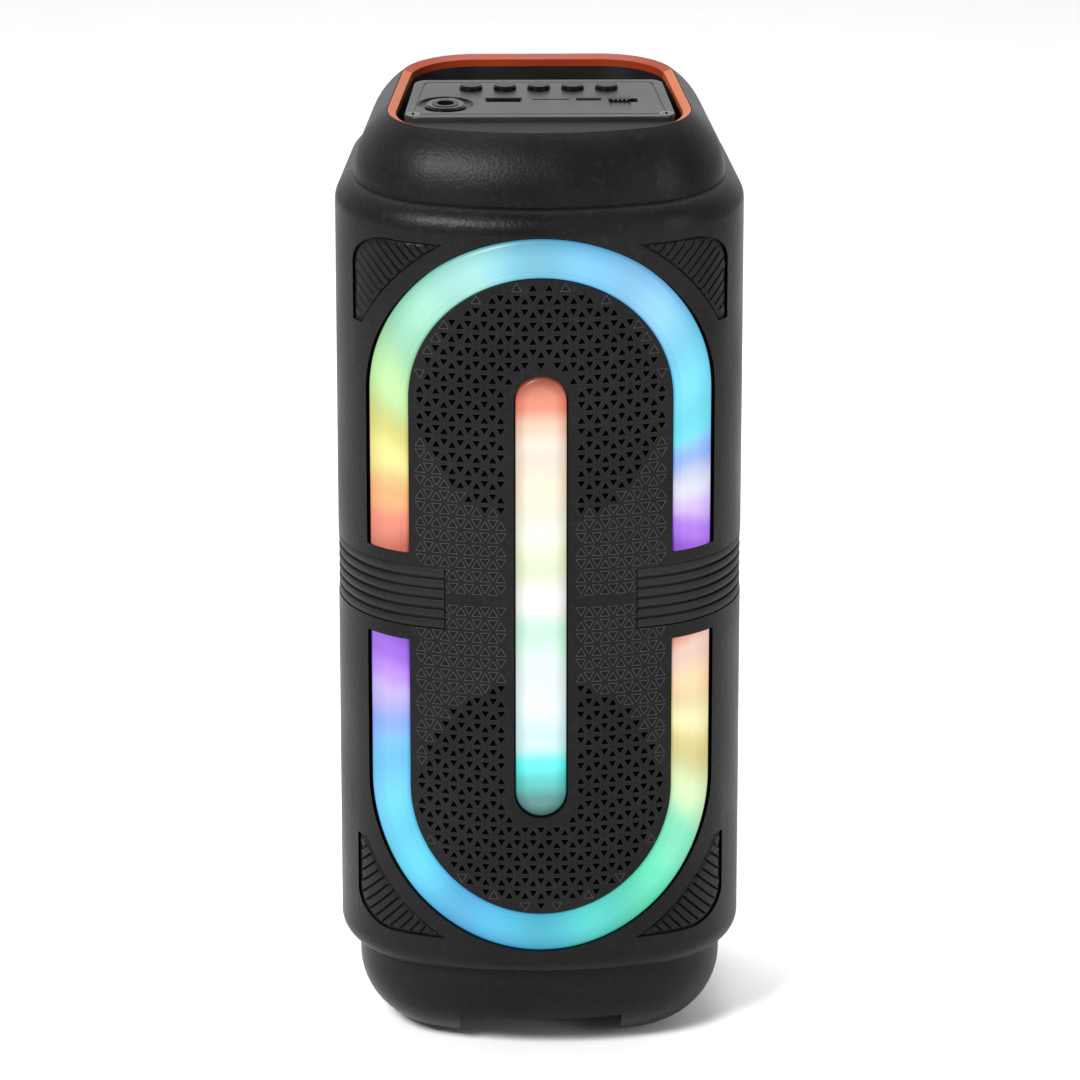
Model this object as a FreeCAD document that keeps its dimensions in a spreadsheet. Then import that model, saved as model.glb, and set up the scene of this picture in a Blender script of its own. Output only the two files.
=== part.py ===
import FreeCAD, Part
import math
import os
import re

import Sketcher
from FreeCAD import Placement, Rotation, Vector

# Party speaker. Millimetres; +X to the right, +Y to the back, +Z up.
# The origin is at the middle of the footprint, on the surface that the feet stand on.

doc = FreeCAD.newDocument("party_speaker")
sheet = doc.addObject("Spreadsheet::Sheet", "Sizes")

SIZES = {
    # housing, in plan
    "body_width": 153, "body_depth": 146, "front_radius": 140, "front_corner": 46, "rear_corner": 48,
    "side_taper": 5, "wall": 3, "seam_y": -15, "seam_gap": 0.3,
    # housing, in height
    "underside": 14, "main_low": 35, "main_high": 341.5, "shoulder": 9.5, "core_inset": 7, "crown": 30,
    "base_round": 28, "ridge_height": 366,
    # light ring, light bar and front
    "ring_half_width": 65, "ring_band": 15.5, "ring_low_centre": 111.9, "ring_high_centre": 266.2,
    "light_depth": 0.2, "bar_width": 20, "lamp_size": 4, "lamp_height": 1, "lamp_pitch": 20, "light_wall": 2,
    "frame_rim": 2, "frame_sheet": 2.5, "bar_back": -56.5, "bar_low": 101.9, "bar_high": 277.9, "fit": 0.15,
    "waist_low": 171, "waist_high": 205.5,
    "hole_pitch": 6, "hole_side": 2.9, "hole_zone": 47.5, "hole_margin": 4,
    # grip bands and corner pads
    "grip_low": 176.6, "grip_high": 200.5, "grip_inner": 36, "grip_end": 40, "grip_depth": 0.3,
    "grip_seat": 1.5, "rib_pitch": 4, "rib_gap": 1.6, "rib_floor": 1,
    "pad_inner": 37.4, "pad_outer": 69, "pad_low": 293, "pad_high": 327, "pad_arc": 72,
    "pad_corner": 12, "pad_depth": 0.2, "pad_seat": 1.4, "pad_gap": 0.7,
    # feet
    "foot_inner": 31, "foot_step": 38, "foot_top": 5, "foot_step_height": 1.6,
    # top trim, tray and grip pocket
    "trim_outer": 20, "trim_width": 3, "trim_low": 362, "trim_drop": 1.3, "trim_mitre_y": 32,
    "trim_front_x": 41.8, "trim_lip": 0.95, "deck_height": 365.3,
    "tray_floor": 335, "tray_wall": 2.5, "tray_slope": 5,
    "flange_low": 357, "flange_high": 360, "pocket_half_width": 38, "pocket_back": 57, "pocket_top": 356,
    # control panel
    "panel_front": -35.5, "panel_back": 14.5, "panel_front_half": 50.8, "panel_back_half": 46.5,
    "panel_seat": 364, "panel_rise": 3, "panel_corner": 5, "panel_edge": 0.6, "well_half": 43.5,
    "well_front": -28, "well_back": 10, "groove_inset": 3.6, "groove_width": 0.6, "groove_depth": 0.3,
    "button_diameter": 8.5, "button_pitch": 12.7, "button_y": 2, "button_rise": 1.8,
    "button_clearance": 0.15, "flange_extra": 1,
    "jack_x": -35, "jack_y": -18.7, "jack_recess": 21, "jack_recess_depth": 1.2, "jack_bush": 10,
    "jack_bore": 6.4, "jack_length": 30, "jack_body": 15,
    "usb_x": -13.3, "usb_y": -13, "usb_width": 13.3, "usb_thick": 5.6, "card_x": 4.4, "card_y": -12.5,
    "card_width": 14, "card_thick": 1.2, "type_c_x": 18.5, "type_c_y": -12.5, "type_c_width": 9,
    "type_c_thick": 3.2, "metal": 0.35, "socket_clearance": 0.2,
    "switch_x": 30.2, "switch_y": -14, "knob_width": 8, "knob_depth": 4.4, "knob_rise": 1.2,
    "knob_sink": 0.6, "knob_lip": 1.2, "lever_width": 2, "lever_length": 4, "groove_pitch": 1.6,
    "groove_cut": 0.8, "groove_fall": 0.6, "cross_length": 3.4, "cross_width": 0.8, "cross_depth": 0.9,
    "switch_travel": 2.3, "switch_length": 12, "switch_width": 7,
    "screw_x": 47, "screw_y": -31, "panel_screw": 2.5, "screw_head": 5.4,
    "screw_sink": 1.4, "screw_depth": 12,
    "board": 1.6, "control_board_top": 355, "tact_height": 3.5, "plunger_height": 0.7,
    # drivers
    "collar_wall": 4.5, "driver_radius": 50, "driver_plane": -46, "driver_flange": 3, "cone_radius": 37,
    "surround_radius": 42.5, "cone_depth": 21, "coil_radius": 13, "basket_back": -18,
    "magnet_radius": 30, "magnet_thick": 12, "yoke_thick": 4,
    "pole_radius": 12, "woofer_screw_circle": 47.5, "woofer_screw": 2.5, "screw_grip": 7,
    "basket_plate": 4, "basket_window": 8, "coil_gap": 0.6,
    # inside
    "port_radius": 18, "port_wall": 2, "port_length": 46, "port_lip": 5, "port_centre": 111.9,
    "cell_diameter": 18.2, "cell_length": 65, "cell_y": 22, "cell_gap": 1.2, "cell_z": 188.5,
    "holder_wall": 2, "holder_arm": 6, "holder_arm_x": 20,
    "amp_width": 80, "amp_height": 66, "amp_y": 46, "amp_z": 267,
    "boss_x": 56, "boss_low": 61, "boss_high": 317, "boss_radius": 4.5, "shell_screw": 3,
    "screw_bite": 20, "screw_seat": 30,
    "lead_radius": 1.25, "sink_width": 60,
}

for row, (name, number) in enumerate(SIZES.items(), start=1):
    sheet.set("A%d" % row, name)
    sheet.set("B%d" % row, str(number))
    sheet.setAlias("B%d" % row, name)
doc.recompute()

pieces = {}
ALIASES = re.compile(r"\b(" + "|".join(sorted(SIZES, key=len, reverse=True)) + r")\b")


def link(expression):
    """An expression in the sheet's names, as the document reads it."""
    return ALIASES.sub(r"Sizes.\1", str(expression))


def value(expression):
    """What an expression comes to at the sheet's present sizes."""
    return float(sheet.evalExpression(link(expression)))


def bind(item, **properties):
    for path, expression in properties.items():
        item.setExpression(path.replace("__", "."), link(expression))
    return item


def place(item, x=0, y=0, z=0):
    return bind(item, Placement__Base__x=x, Placement__Base__y=y, Placement__Base__z=z)


def piece(label, item):
    """Names an object as one of the speaker's sub-parts."""
    item.Label = label
    pieces[label] = item
    return item


# ---- sketches

def on_plane(owner, label, role):
    """An empty sketch: in a body it sits on one of the body's own planes."""
    if owner is None:
        return doc.addObject("Sketcher::SketchObject", label)
    sketch = owner.newObject("Sketcher::SketchObject", label)
    plane = [f for f in owner.Origin.OriginFeatures if f.Role == role][0]
    sketch.AttachmentSupport = [(plane, "")]
    sketch.MapMode = "FlatFace"
    return sketch


def drive(sketch, kind, places, expression):
    number = sketch.addConstraint(Sketcher.Constraint(kind, *places, value(expression)))
    sketch.setExpression("Constraints[%d]" % number, link(expression))


def polygon(sketch, points):
    """A closed outline with straight sides, every corner driven by the sheet."""
    numbers = [Vector(value(x), value(y), 0) for x, y in points]
    count = len(points)
    for side in range(count):
        sketch.addGeometry(Part.LineSegment(numbers[side], numbers[(side + 1) % count]))
    for side in range(count):
        sketch.addConstraint(Sketcher.Constraint("Coincident", side, 2, (side + 1) % count, 1))
    for side, (x, y) in enumerate(points):
        drive(sketch, "DistanceX", (-1, 1, side, 1), x)
        drive(sketch, "DistanceY", (-1, 1, side, 1), y)
    return sketch


def arc(centre, radius, start, end):
    circle = Part.Circle(Vector(centre[0], centre[1], 0), Vector(0, 0, 1), radius)
    return Part.ArcOfCircle(circle, start, end)


def on_circle(centre, radius, angle):
    return Vector(centre[0] + radius * math.cos(angle), centre[1] + radius * math.sin(angle), 0)


FRONT_Y = "(front_radius - body_depth / 2)"
CORNER_X = "(body_width / 2 - front_corner)"
REAR_X = "(body_width / 2 - side_taper - rear_corner)"
REAR_Y = "(body_depth / 2 - rear_corner)"


def plan(sketch, inset):
    """The housing's outline seen from above, moved in by inset: bowed front, round corners, flat back."""
    inner = value(inset)
    front = (0, value(FRONT_Y))
    reach = value("front_radius - front_corner")
    corner_x = value(CORNER_X)
    corner = (corner_x, front[1] - math.sqrt(reach ** 2 - corner_x ** 2))
    rear = (value(REAR_X), value(REAR_Y))
    swing = math.asin(corner_x / reach)
    across, along = corner[0] - rear[0], rear[1] - corner[1]
    step = value("front_corner - rear_corner")
    lean = math.acos(-step / math.hypot(across, along)) - math.atan2(along, across)
    front_r, corner_r, rear_r = (
        value(name) - inner for name in ("front_radius", "front_corner", "rear_corner"))
    down, half = -math.pi / 2, math.pi / 2
    left_corner, left_rear = (-corner[0], corner[1]), (-rear[0], rear[1])
    sketch.addGeometry([
        arc(front, front_r, down - swing, down + swing),
        arc(corner, corner_r, down + swing, lean),
        Part.LineSegment(on_circle(corner, corner_r, lean), on_circle(rear, rear_r, lean)),
        arc(rear, rear_r, lean, half),
        Part.LineSegment(on_circle(rear, rear_r, half), on_circle(left_rear, rear_r, half)),
        arc(left_rear, rear_r, half, math.pi - lean),
        Part.LineSegment(on_circle(left_rear, rear_r, math.pi - lean),
                         on_circle(left_corner, corner_r, math.pi - lean)),
        arc(left_corner, corner_r, math.pi - lean, 3 * half - swing),
    ], False)
    for side in range(8):
        sketch.addConstraint(Sketcher.Constraint("Tangent", side, 2, (side + 1) % 8, 1))
    for side, name in ((0, "front_radius"), (1, "front_corner"), (3, "rear_corner"),
                       (5, "rear_corner"), (7, "front_corner")):
        drive(sketch, "Radius", (side,), "%s - (%s)" % (name, inset))
    drive(sketch, "DistanceX", (-1, 1, 0, 3), 0)
    drive(sketch, "DistanceY", (-1, 1, 0, 3), FRONT_Y)
    drive(sketch, "DistanceX", (-1, 1, 1, 3), CORNER_X)
    drive(sketch, "DistanceX", (7, 3, -1, 1), CORNER_X)
    drive(sketch, "DistanceX", (-1, 1, 3, 3), REAR_X)
    drive(sketch, "DistanceY", (-1, 1, 3, 3), REAR_Y)
    drive(sketch, "DistanceX", (5, 3, -1, 1), REAR_X)
    drive(sketch, "DistanceY", (-1, 1, 5, 3), REAR_Y)
    return sketch


def racetrack(sketch, half_width, low, high):
    """Two half circles joined by straight sides; low and high are the heights of their centres."""
    radius, bottom, top = value(half_width), value(low), value(high)
    sketch.addGeometry([
        Part.LineSegment(Vector(radius, bottom, 0), Vector(radius, top, 0)),
        arc((0, top), radius, 0, math.pi),
        Part.LineSegment(Vector(-radius, top, 0), Vector(-radius, bottom, 0)),
        arc((0, bottom), radius, math.pi, 2 * math.pi),
    ], False)
    for side in range(4):
        sketch.addConstraint(Sketcher.Constraint("Tangent", side, 2, (side + 1) % 4, 1))
    for side, height in ((1, high), (3, low)):
        drive(sketch, "Radius", (side,), half_width)
        drive(sketch, "DistanceX", (-1, 1, side, 3), 0)
        drive(sketch, "DistanceY", (-1, 1, side, 3), height)
    return sketch


# ---- solids

def box(label, x, y, z):
    """A block from its low and high limits along each axis."""
    solid = doc.addObject("Part::Box", label)
    bind(solid, Length="(%s) - (%s)" % (x[1], x[0]), Width="(%s) - (%s)" % (y[1], y[0]),
         Height="(%s) - (%s)" % (z[1], z[0]))
    return place(solid, x[0], y[0], z[0])


TURNS = {"x": Rotation(Vector(0, 1, 0), 90), "y": Rotation(Vector(1, 0, 0), -90), "z": Rotation()}


def rod(label, along, radius, length, x=0, y=0, z=0):
    """A cylinder that starts at x, y, z and runs along +X, +Y or +Z."""
    solid = doc.addObject("Part::Cylinder", label)
    bind(solid, Radius=radius, Height=length)
    solid.Placement = Placement(Vector(), TURNS[along])
    return place(solid, x, y, z)


def prism(label, inset, low, high):
    """The plan outline, moved in by inset, from one height to another."""
    solid = doc.addObject("Part::Extrusion", label)
    solid.Base = place(plan(on_plane(None, label + "_outline", None), inset), z=low)
    solid.DirMode = "Custom"
    solid.Dir = Vector(0, 0, 1)
    solid.Solid = True
    return bind(solid, LengthFwd="(%s) - (%s)" % (high, low))


def taper(label, top_inset, top, low_inset, low):
    """A block between two plan outlines, moved in by different amounts."""
    solid = doc.addObject("Part::Loft", label)
    solid.Sections = [
        place(plan(on_plane(None, label + "_low", None), low_inset), z=low),
        place(plan(on_plane(None, label + "_top", None), top_inset), z=top),
    ]
    solid.Solid = True
    solid.Ruled = True
    return solid


def rounded_block(label, inset, low, high, low_round, high_round):
    """The plan outline as a block with rounded lower and upper edges."""
    body = doc.addObject("PartDesign::Body", label)
    sketch = plan(on_plane(body, label + "_outline", "XY_Plane"), inset)
    bind(sketch, AttachmentOffset__Base__z=low)
    pad = body.newObject("PartDesign::Pad", label + "_pad")
    pad.Profile = sketch
    bind(pad, Length="(%s) - (%s)" % (high, low))
    doc.recompute()
    base = pad
    for name, height, radius in (("low", low, low_round), ("top", high, high_round)):
        level = value(height)
        edges = ["Edge%d" % (number + 1) for number, edge in enumerate(base.Shape.Edges)
                 if all(abs(v.Point.z - level) < 1e-6 for v in edge.Vertexes)]
        rounding = body.newObject("PartDesign::Fillet", "%s_%s_round" % (label, name))
        rounding.Base = (base, edges)
        bind(rounding, Radius=radius)
        doc.recompute()
        base = rounding
    return body


def turned(label, axis, points, x=0, y=0, z=0):
    """A turned piece: points are (radius, distance along the axis), about its own Y or Z axis."""
    body = doc.addObject("PartDesign::Body", label)
    role = {"y": "XY_Plane", "z": "XZ_Plane"}[axis]
    sketch = polygon(on_plane(body, label + "_profile", role), points)
    spin = body.newObject("PartDesign::Revolution", label + "_turn")
    spin.Profile = sketch
    spin.ReferenceAxis = (sketch, ["V_Axis"])
    spin.Angle = 360
    return place(body, x, y, z)


def plate_of(label, points, low, high):
    """A flat piece with straight sides, from one height to another."""
    body = doc.addObject("PartDesign::Body", label)
    sketch = polygon(on_plane(body, label + "_outline", "XY_Plane"), points)
    bind(sketch, AttachmentOffset__Base__z=low)
    pad = body.newObject("PartDesign::Pad", label + "_pad")
    pad.Profile = sketch
    bind(pad, Length="(%s) - (%s)" % (high, low))
    return body


def through_front(label, half_width, low, high, back="0"):
    """A racetrack block from in front of the housing back to a depth."""
    solid = doc.addObject("Part::Extrusion", label)
    sketch = racetrack(on_plane(None, label + "_outline", None), half_width, low, high)
    sketch.Placement = Placement(Vector(), Rotation(Vector(1, 0, 0), 90))
    solid.Base = place(sketch, y=back)
    solid.DirMode = "Custom"
    solid.Dir = Vector(0, -1, 0)
    solid.Solid = True
    return bind(solid, LengthFwd="(%s) + body_depth" % back)


def combine(kind, label, items):
    result = doc.addObject(kind, label)
    result.Shapes = list(items)
    return result


def fuse(label, *items):
    return combine("Part::MultiFuse", label, items)


def overlap(label, *items):
    return combine("Part::MultiCommon", label, items)


def group(label, *items):
    """Separate solids that share one node."""
    result = doc.addObject("Part::Compound", label)
    result.Links = list(items)
    return result


def cut(label, base, *tools):
    result = doc.addObject("Part::Cut", label)
    result.Base = base
    result.Tool = tools[0] if len(tools) == 1 else fuse(label + "_tools", *tools)
    return result


def mirror(label, source, axis, at=0):
    """A mirror image across a plane square to X or Z."""
    result = doc.addObject("Part::Mirroring", label)
    result.Source = source
    result.Normal = Vector(1, 0, 0) if axis == "x" else Vector(0, 0, 1)
    if axis == "z":
        bind(result, Base__z=at)
    return result


# ---- housing

FAR = "body_width"
ABOVE = "(ridge_height + crown)"
CROWN_TOP = "(main_high + crown)"


def envelope(label, inset):
    """The wide main body and the narrower core that forms the head and the base."""
    main = rounded_block(label + "_main", inset, "main_low + (%s)" % inset, "main_high - (%s)" % inset,
                         "shoulder - (%s)" % inset, "shoulder - (%s)" % inset)
    core = rounded_block(label + "_core", "core_inset + (%s)" % inset, inset,
                         CROWN_TOP + " - (%s)" % inset, "base_round - (%s)" % inset,
                         "crown - (%s)" % inset)
    return main, core


outer_main, outer_core = envelope("outer", "0")
inner_main, inner_core = envelope("inner", "wall")
over_ridge = box("over_ridge", ("-" + FAR, FAR), ("-" + FAR, FAR), ("ridge_height", ABOVE))


def under_floor(label, extra):
    """What is taken off the underside: the rubber feet's layer, and the channel between the feet."""
    layer = box(label + "_feet", ("-" + FAR, FAR), ("-" + FAR, FAR), ("-1", "foot_top + " + extra))
    channel = box(label + "_channel", ("-foot_inner - " + extra, "foot_inner + " + extra), ("-" + FAR, FAR),
                  ("-1", "underside + " + extra))
    return fuse(label, layer, channel)


outside = cut("outside", fuse("outer_blocks", outer_main, outer_core), over_ridge, under_floor("under", "0"))
inside = cut("inside", fuse("inner_blocks", inner_main, inner_core), under_floor("floor", "wall"))

RING_LOW, RING_HIGH = "ring_low_centre", "ring_high_centre"
RING_INNER = "(ring_half_width - ring_band)"
MIDDLE = "(ring_low_centre + ring_high_centre) / 2"
BAR_RADIUS = "(bar_width / 2)"
BAR_LOW, BAR_HIGH = "(bar_low + bar_width / 2)", "(bar_high - bar_width / 2)"


def both_sides(label, x, y, z):
    """A block on the right and its twin on the left."""
    left = ("-(%s)" % x[1], "-(%s)" % x[0])
    return fuse(label, box(label + "_right", x, y, z), box(label + "_left", left, y, z))


def racetrack_band(label, outer, inner, back, ends):
    """The light ring's band as a block, open at the waist: ends is how far it stops short there."""
    return cut(label, through_front(label + "_outer", outer, RING_LOW, RING_HIGH, back),
               through_front(label + "_inner", inner, RING_LOW, RING_HIGH, "(%s) + 1" % back),
               box(label + "_waist", ("-" + FAR, FAR), ("-" + FAR, FAR),
                   ("waist_low - (%s)" % ends, "waist_high + (%s)" % ends)))


light_slots = racetrack_band("light_slots", "ring_half_width + fit", RING_INNER + " - fit", "seam_y", "0")
bar_slot = through_front("bar_slot", BAR_RADIUS + " + fit", BAR_LOW, BAR_HIGH, "seam_y")
top_opening = prism("top_opening", "trim_outer - seam_gap", "main_high", ABOVE)

grip_space = both_sides("grip_space", ("grip_inner - fit", FAR), ("-" + FAR, "grip_end + fit"),
                        ("grip_low - fit", "grip_high + fit"))
grip_core = prism("grip_core", "grip_seat", "waist_low", "waist_high")
grip_recess = cut("grip_recess", grip_space, grip_core)


def pad_block(label, gap, seat):
    """The outline of the upper right corner pad, cut to a depth under the outer face."""
    block = doc.addObject("Part::Box", label + "_block")
    bind(block, Length="pad_outer - pad_inner + 2 * (%s)" % gap, Width="body_depth / 2",
         Height="pad_high - pad_low + 2 * (%s)" % gap)
    place(block, "pad_inner - (%s)" % gap, "-body_depth / 2", "pad_low - (%s)" % gap)
    doc.recompute()
    right, top = value("pad_outer + (%s)" % gap), value("pad_high + (%s)" % gap)
    corner = [number + 1 for number, edge in enumerate(block.Shape.Edges)
              if all(abs(v.Point.x - right) < 1e-6 and abs(v.Point.z - top) < 1e-6 for v in edge.Vertexes)]
    soft = doc.addObject("Part::Fillet", label + "_soft")
    soft.Base = block
    radius = value("pad_corner + (%s)" % gap)
    soft.Edges = [(number, radius, radius) for number in corner]
    arc_cut = rod(label + "_arc", "y", "pad_arc - (%s)" % gap, "body_depth", 0, "-body_depth", RING_HIGH)
    return cut(label, soft, arc_cut, prism(label + "_seat", seat, "main_low", "main_high"))


pad_recess = pad_block("pad_recess", "pad_gap", "pad_seat")
pad_recess_left = mirror("pad_recess_left", pad_recess, "x")
pad_recesses = fuse("pad_recesses", pad_recess, pad_recess_left,
                    mirror("pad_recess_lower", pad_recess, "z", MIDDLE),
                    mirror("pad_recess_lower_left", pad_recess_left, "z", MIDDLE))

PORT_OUTER = "(port_radius + port_wall)"
port_hole = rod("port_hole", "y", PORT_OUTER + " + fit", "body_depth", 0, 0, "port_centre")
port_rim = rod("port_rim", "y", PORT_OUTER + " + port_lip + fit", "body_depth", 0,
               "body_depth / 2 - wall / 2", "port_centre")


def triangular_holes():
    """Rows of triangles, point up and point down in turn, inside the two driver zones, clear of the bar."""
    pitch, side = value("hole_pitch"), value("hole_side")
    row = pitch * math.sqrt(3) / 2
    zone, depth = value("hole_zone"), value("body_depth") / 2
    margin, bar_bottom, bar_top = value(BAR_RADIUS + " + hole_margin"), value(BAR_LOW), value(BAR_HIGH)
    holes = []
    for centre in (value(RING_LOW), value(RING_HIGH)):
        rows = int(zone / row)
        for line in range(-rows, rows + 1):
            for step in range(-int(2 * zone / pitch), int(2 * zone / pitch) + 1):
                upward = (step + line) % 2 == 0
                x = step * pitch / 2
                z = line * row + (-row / 6 if upward else row / 6)
                past_bar = max(bar_bottom - centre - z, centre + z - bar_top, 0)
                if math.hypot(x, past_bar) < margin or math.hypot(x, z) > zone - side / 2:
                    continue
                reach = side / math.sqrt(3)
                start = 90 if upward else -90
                corners = [Vector(x + reach * math.cos(math.radians(start + turn)), -depth,
                                  centre + z + reach * math.sin(math.radians(start + turn)))
                           for turn in (0, 120, 240, 0)]
                face = Part.Face(Part.makePolygon(corners))
                holes.append(face.extrude(Vector(0, depth / 2, 0)))
    return Part.makeCompound(holes)


perforation = doc.addObject("Part::Feature", "perforation")
perforation.Shape = triangular_holes()
perforation.Placement = Placement()
walls = cut("walls", outside, inside, light_slots, bar_slot, top_opening, grip_recess, pad_recesses,
            port_hole, port_rim)

boss_places = [(side + "boss_x", height) for side in ("-", "") for height in ("boss_low", "boss_high")]


def at_bosses(label, radius, start, end):
    """One rod along Y at each of the four shell screws."""
    length = "(%s) - (%s)" % (end, start)
    return fuse(label, *[rod("%s_%d" % (label, number), "y", radius, length, x, start, z)
                         for number, (x, z) in enumerate(boss_places, start=1)])


mid_wall = fuse("mid_wall", *envelope("mid", "wall / 2"))
front_bosses = overlap("front_bosses", at_bosses("front_boss", "boss_radius", "-body_depth / 2", "seam_y"),
                       mid_wall)
rear_bosses = overlap("rear_bosses", at_bosses("rear_boss", "boss_radius", "seam_y + seam_gap",
                                               "body_depth / 2"), mid_wall)
front_half = box("front_half", ("-" + FAR, FAR), ("-" + FAR, "seam_y"), ("0", ABOVE))
rear_half = box("rear_half", ("-" + FAR, FAR), ("seam_y + seam_gap", FAR), ("0", ABOVE))
SCREW_HOLE = "shell_screw / 2"
piece("front_shell", cut("front_shell",
      fuse("front_solid", overlap("front_walls", walls, front_half), front_bosses),
      at_bosses("front_screw_hole", SCREW_HOLE, "seam_y - screw_bite", "seam_y"), perforation))
SCREW_SEAT = "(seam_y + screw_seat)"
piece("rear_shell", cut("rear_shell",
      fuse("rear_solid", overlap("rear_walls", walls, rear_half), rear_bosses),
      at_bosses("rear_screw_hole", SCREW_HOLE + " + fit", "seam_y", SCREW_SEAT),
      at_bosses("rear_screw_well", "boss_radius - 1", SCREW_SEAT, "body_depth")))


def shell_screw(number, x, z):
    head = rod("shell_screw_head_%d" % number, "y", "shell_screw", "shell_screw", x, SCREW_SEAT, z)
    shank = rod("shell_screw_shank_%d" % number, "y", SCREW_HOLE + " - 0.05", "screw_seat + screw_bite - 2",
                x, "seam_y - screw_bite + 2", z)
    return fuse("shell_screw_%d" % number, head, shank)


piece("shell_screws", group("shell_screws", *[
    shell_screw(number, x, z) for number, (x, z) in enumerate(boss_places, start=1)]))

# ---- lights, grip bands and corner pads

light_face = rounded_block("light_face", "light_depth", "main_low + light_depth",
                           "main_high - light_depth", "shoulder - light_depth", "shoulder - light_depth")
behind_shell = prism("behind_shell", "wall", "main_low - 1", "main_high + 1")
ring = cut("ring", overlap("ring_skin", light_face, racetrack_band(
    "ring_band", "ring_half_width", RING_INNER, "seam_y", "fit")), behind_shell)
upper_half = box("upper_half", ("-" + FAR, FAR), ("-" + FAR, FAR), (MIDDLE, ABOVE))
lower_half = box("lower_half", ("-" + FAR, FAR), ("-" + FAR, FAR), ("0", MIDDLE))
piece("diffuser_upper", overlap("diffuser_upper", ring, upper_half))
piece("diffuser_lower", overlap("diffuser_lower", ring, lower_half))
piece("diffuser_bar", cut("diffuser_bar", overlap("bar_skin", light_face, through_front(
    "bar_block", BAR_RADIUS, BAR_LOW, BAR_HIGH, "seam_y")), behind_shell))


def side_grip():
    """The right grip band: six ribs that wrap from the front round the side."""
    face = prism("grip_face", "grip_depth", "grip_low", "grip_high")
    floor = prism("grip_floor", "rib_floor", "grip_low - 1", "grip_high + 1")
    seat = prism("grip_back", "grip_seat", "grip_low - 1", "grip_high + 1")
    reach = box("grip_reach", ("grip_inner", FAR), ("-" + FAR, "grip_end"), ("grip_low", "grip_high"))
    first = "grip_low + (grip_high - grip_low - 4 * rib_pitch) / 2"
    slots = [box("grip_slot_%d" % number, ("0", FAR), ("-" + FAR, FAR),
                 ("%s + %d * rib_pitch - rib_gap / 2" % (first, number),
                  "%s + %d * rib_pitch + rib_gap / 2" % (first, number))) for number in range(5)]
    grooves = cut("grip_grooves", fuse("grip_slots", *slots), floor)
    return cut("side_grip_right", overlap("grip_band", face, reach), seat, grooves)


piece("side_grip_right", side_grip())
piece("side_grip_left", mirror("side_grip_left", pieces["side_grip_right"], "x"))

pad_face = prism("pad_face", "pad_depth", "main_low + shoulder", "main_high - shoulder")
pad_right = piece("corner_pad_upper_right", overlap(
    "corner_pad_upper_right", pad_block("pad_shape", "0", "pad_seat"), pad_face))
pad_left = piece("corner_pad_upper_left", mirror("corner_pad_upper_left", pad_right, "x"))
piece("corner_pad_lower_right", mirror("corner_pad_lower_right", pad_right, "z", MIDDLE))
piece("corner_pad_lower_left", mirror("corner_pad_lower_left", pad_left, "z", MIDDLE))

# ---- feet

def foot():
    """The right foot: a rubber runner under the side, with a step along its inner edge."""
    layer = box("foot_layer", ("foot_inner", FAR), ("-" + FAR, FAR), ("-1", "foot_top"))
    step = box("foot_ledge", ("0", "foot_step"), ("-" + FAR, FAR), ("-1", "foot_step_height"))
    return cut("foot_right", overlap("foot_runner", outer_core, layer), step)


piece("foot_right", foot())
piece("foot_left", mirror("foot_left", pieces["foot_right"], "x"))

# ---- top tray, trim and grip pocket

TRIM_INNER = "(trim_outer + trim_width)"
TRENCH_LOW = "(trim_outer + trim_width + tray_slope)"
tray_skin = taper("tray_skin", TRIM_INNER + " - tray_wall", "trim_low", TRENCH_LOW + " - tray_wall",
                  "tray_floor - tray_wall")
trench = taper("trench", TRIM_INNER, "trim_low", TRENCH_LOW, "tray_floor")
trench_mouth = prism("trench_mouth", TRIM_INNER, "trim_low", ABOVE)
tray_flange = overlap("tray_flange", inner_core, prism("flange_disc", "core_inset", "flange_low",
                                                        "flange_high"))
pocket = box("pocket", ("-pocket_half_width", "pocket_half_width"), ("panel_back + 5", "pocket_back"),
             ("tray_floor", "pocket_top"))
pocket_wall = overlap("pocket_wall", inner_core, box(
    "pocket_shell", ("-pocket_half_width - tray_wall", "pocket_half_width + tray_wall"),
    ("panel_back + 5", "pocket_back + tray_wall"), ("tray_floor - tray_wall", "pocket_top + tray_wall")))
pocket_room = overlap("pocket_room", pocket, prism("pocket_reach", "core_inset + wall + tray_wall",
                                                   "tray_floor", "pocket_top"))
island = plate_of("island", [
    ("panel_front_half", "panel_front"), ("panel_back_half", "panel_back"),
    ("-panel_back_half", "panel_back"), ("-panel_front_half", "panel_front"),
    ("-panel_front_half", "-body_depth / 2"), ("panel_front_half", "-body_depth / 2"),
], "tray_floor - 1", ABOVE)
trench_space = cut("trench_space", fuse("trench_all", trench, trench_mouth), island)
panel_space = box("panel_space", ("-" + FAR, FAR), ("panel_front - fit", FAR), ("panel_seat", ABOVE))
well = box("well", ("-well_half", "well_half"), ("well_front", "well_back"), ("0", ABOVE))
deck_hollow = taper("deck_hollow", TRIM_INNER + " + tray_wall", "deck_height - tray_wall", TRENCH_LOW,
                    "tray_floor - 2 * tray_wall")
under_deck = overlap("under_deck", deck_hollow, box(
    "hollow_reach", ("-trim_front_x", "trim_front_x"), ("-" + FAR, "well_front - tray_wall"), ("0", ABOVE)))
deck_reach = box("deck_reach", ("-" + FAR, FAR), ("-" + FAR, "0"), ("0", ABOVE))
deck_tongue = box("deck_tongue", ("-trim_front_x", "trim_front_x"), ("-" + FAR, "0"), ("0", ABOVE))
deck_column = overlap("deck_column", island, deck_reach, fuse(
    "deck_edge", prism("deck_wide", "trim_outer + trim_lip", "trim_low", ABOVE),
    overlap("deck_front", prism("deck_full", "trim_outer", "trim_low", ABOVE), deck_tongue)))
deck = cut("deck", deck_column, box("over_deck", ("-" + FAR, FAR), ("-" + FAR, FAR),
                                    ("deck_height", ABOVE + " + 1")))
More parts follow.
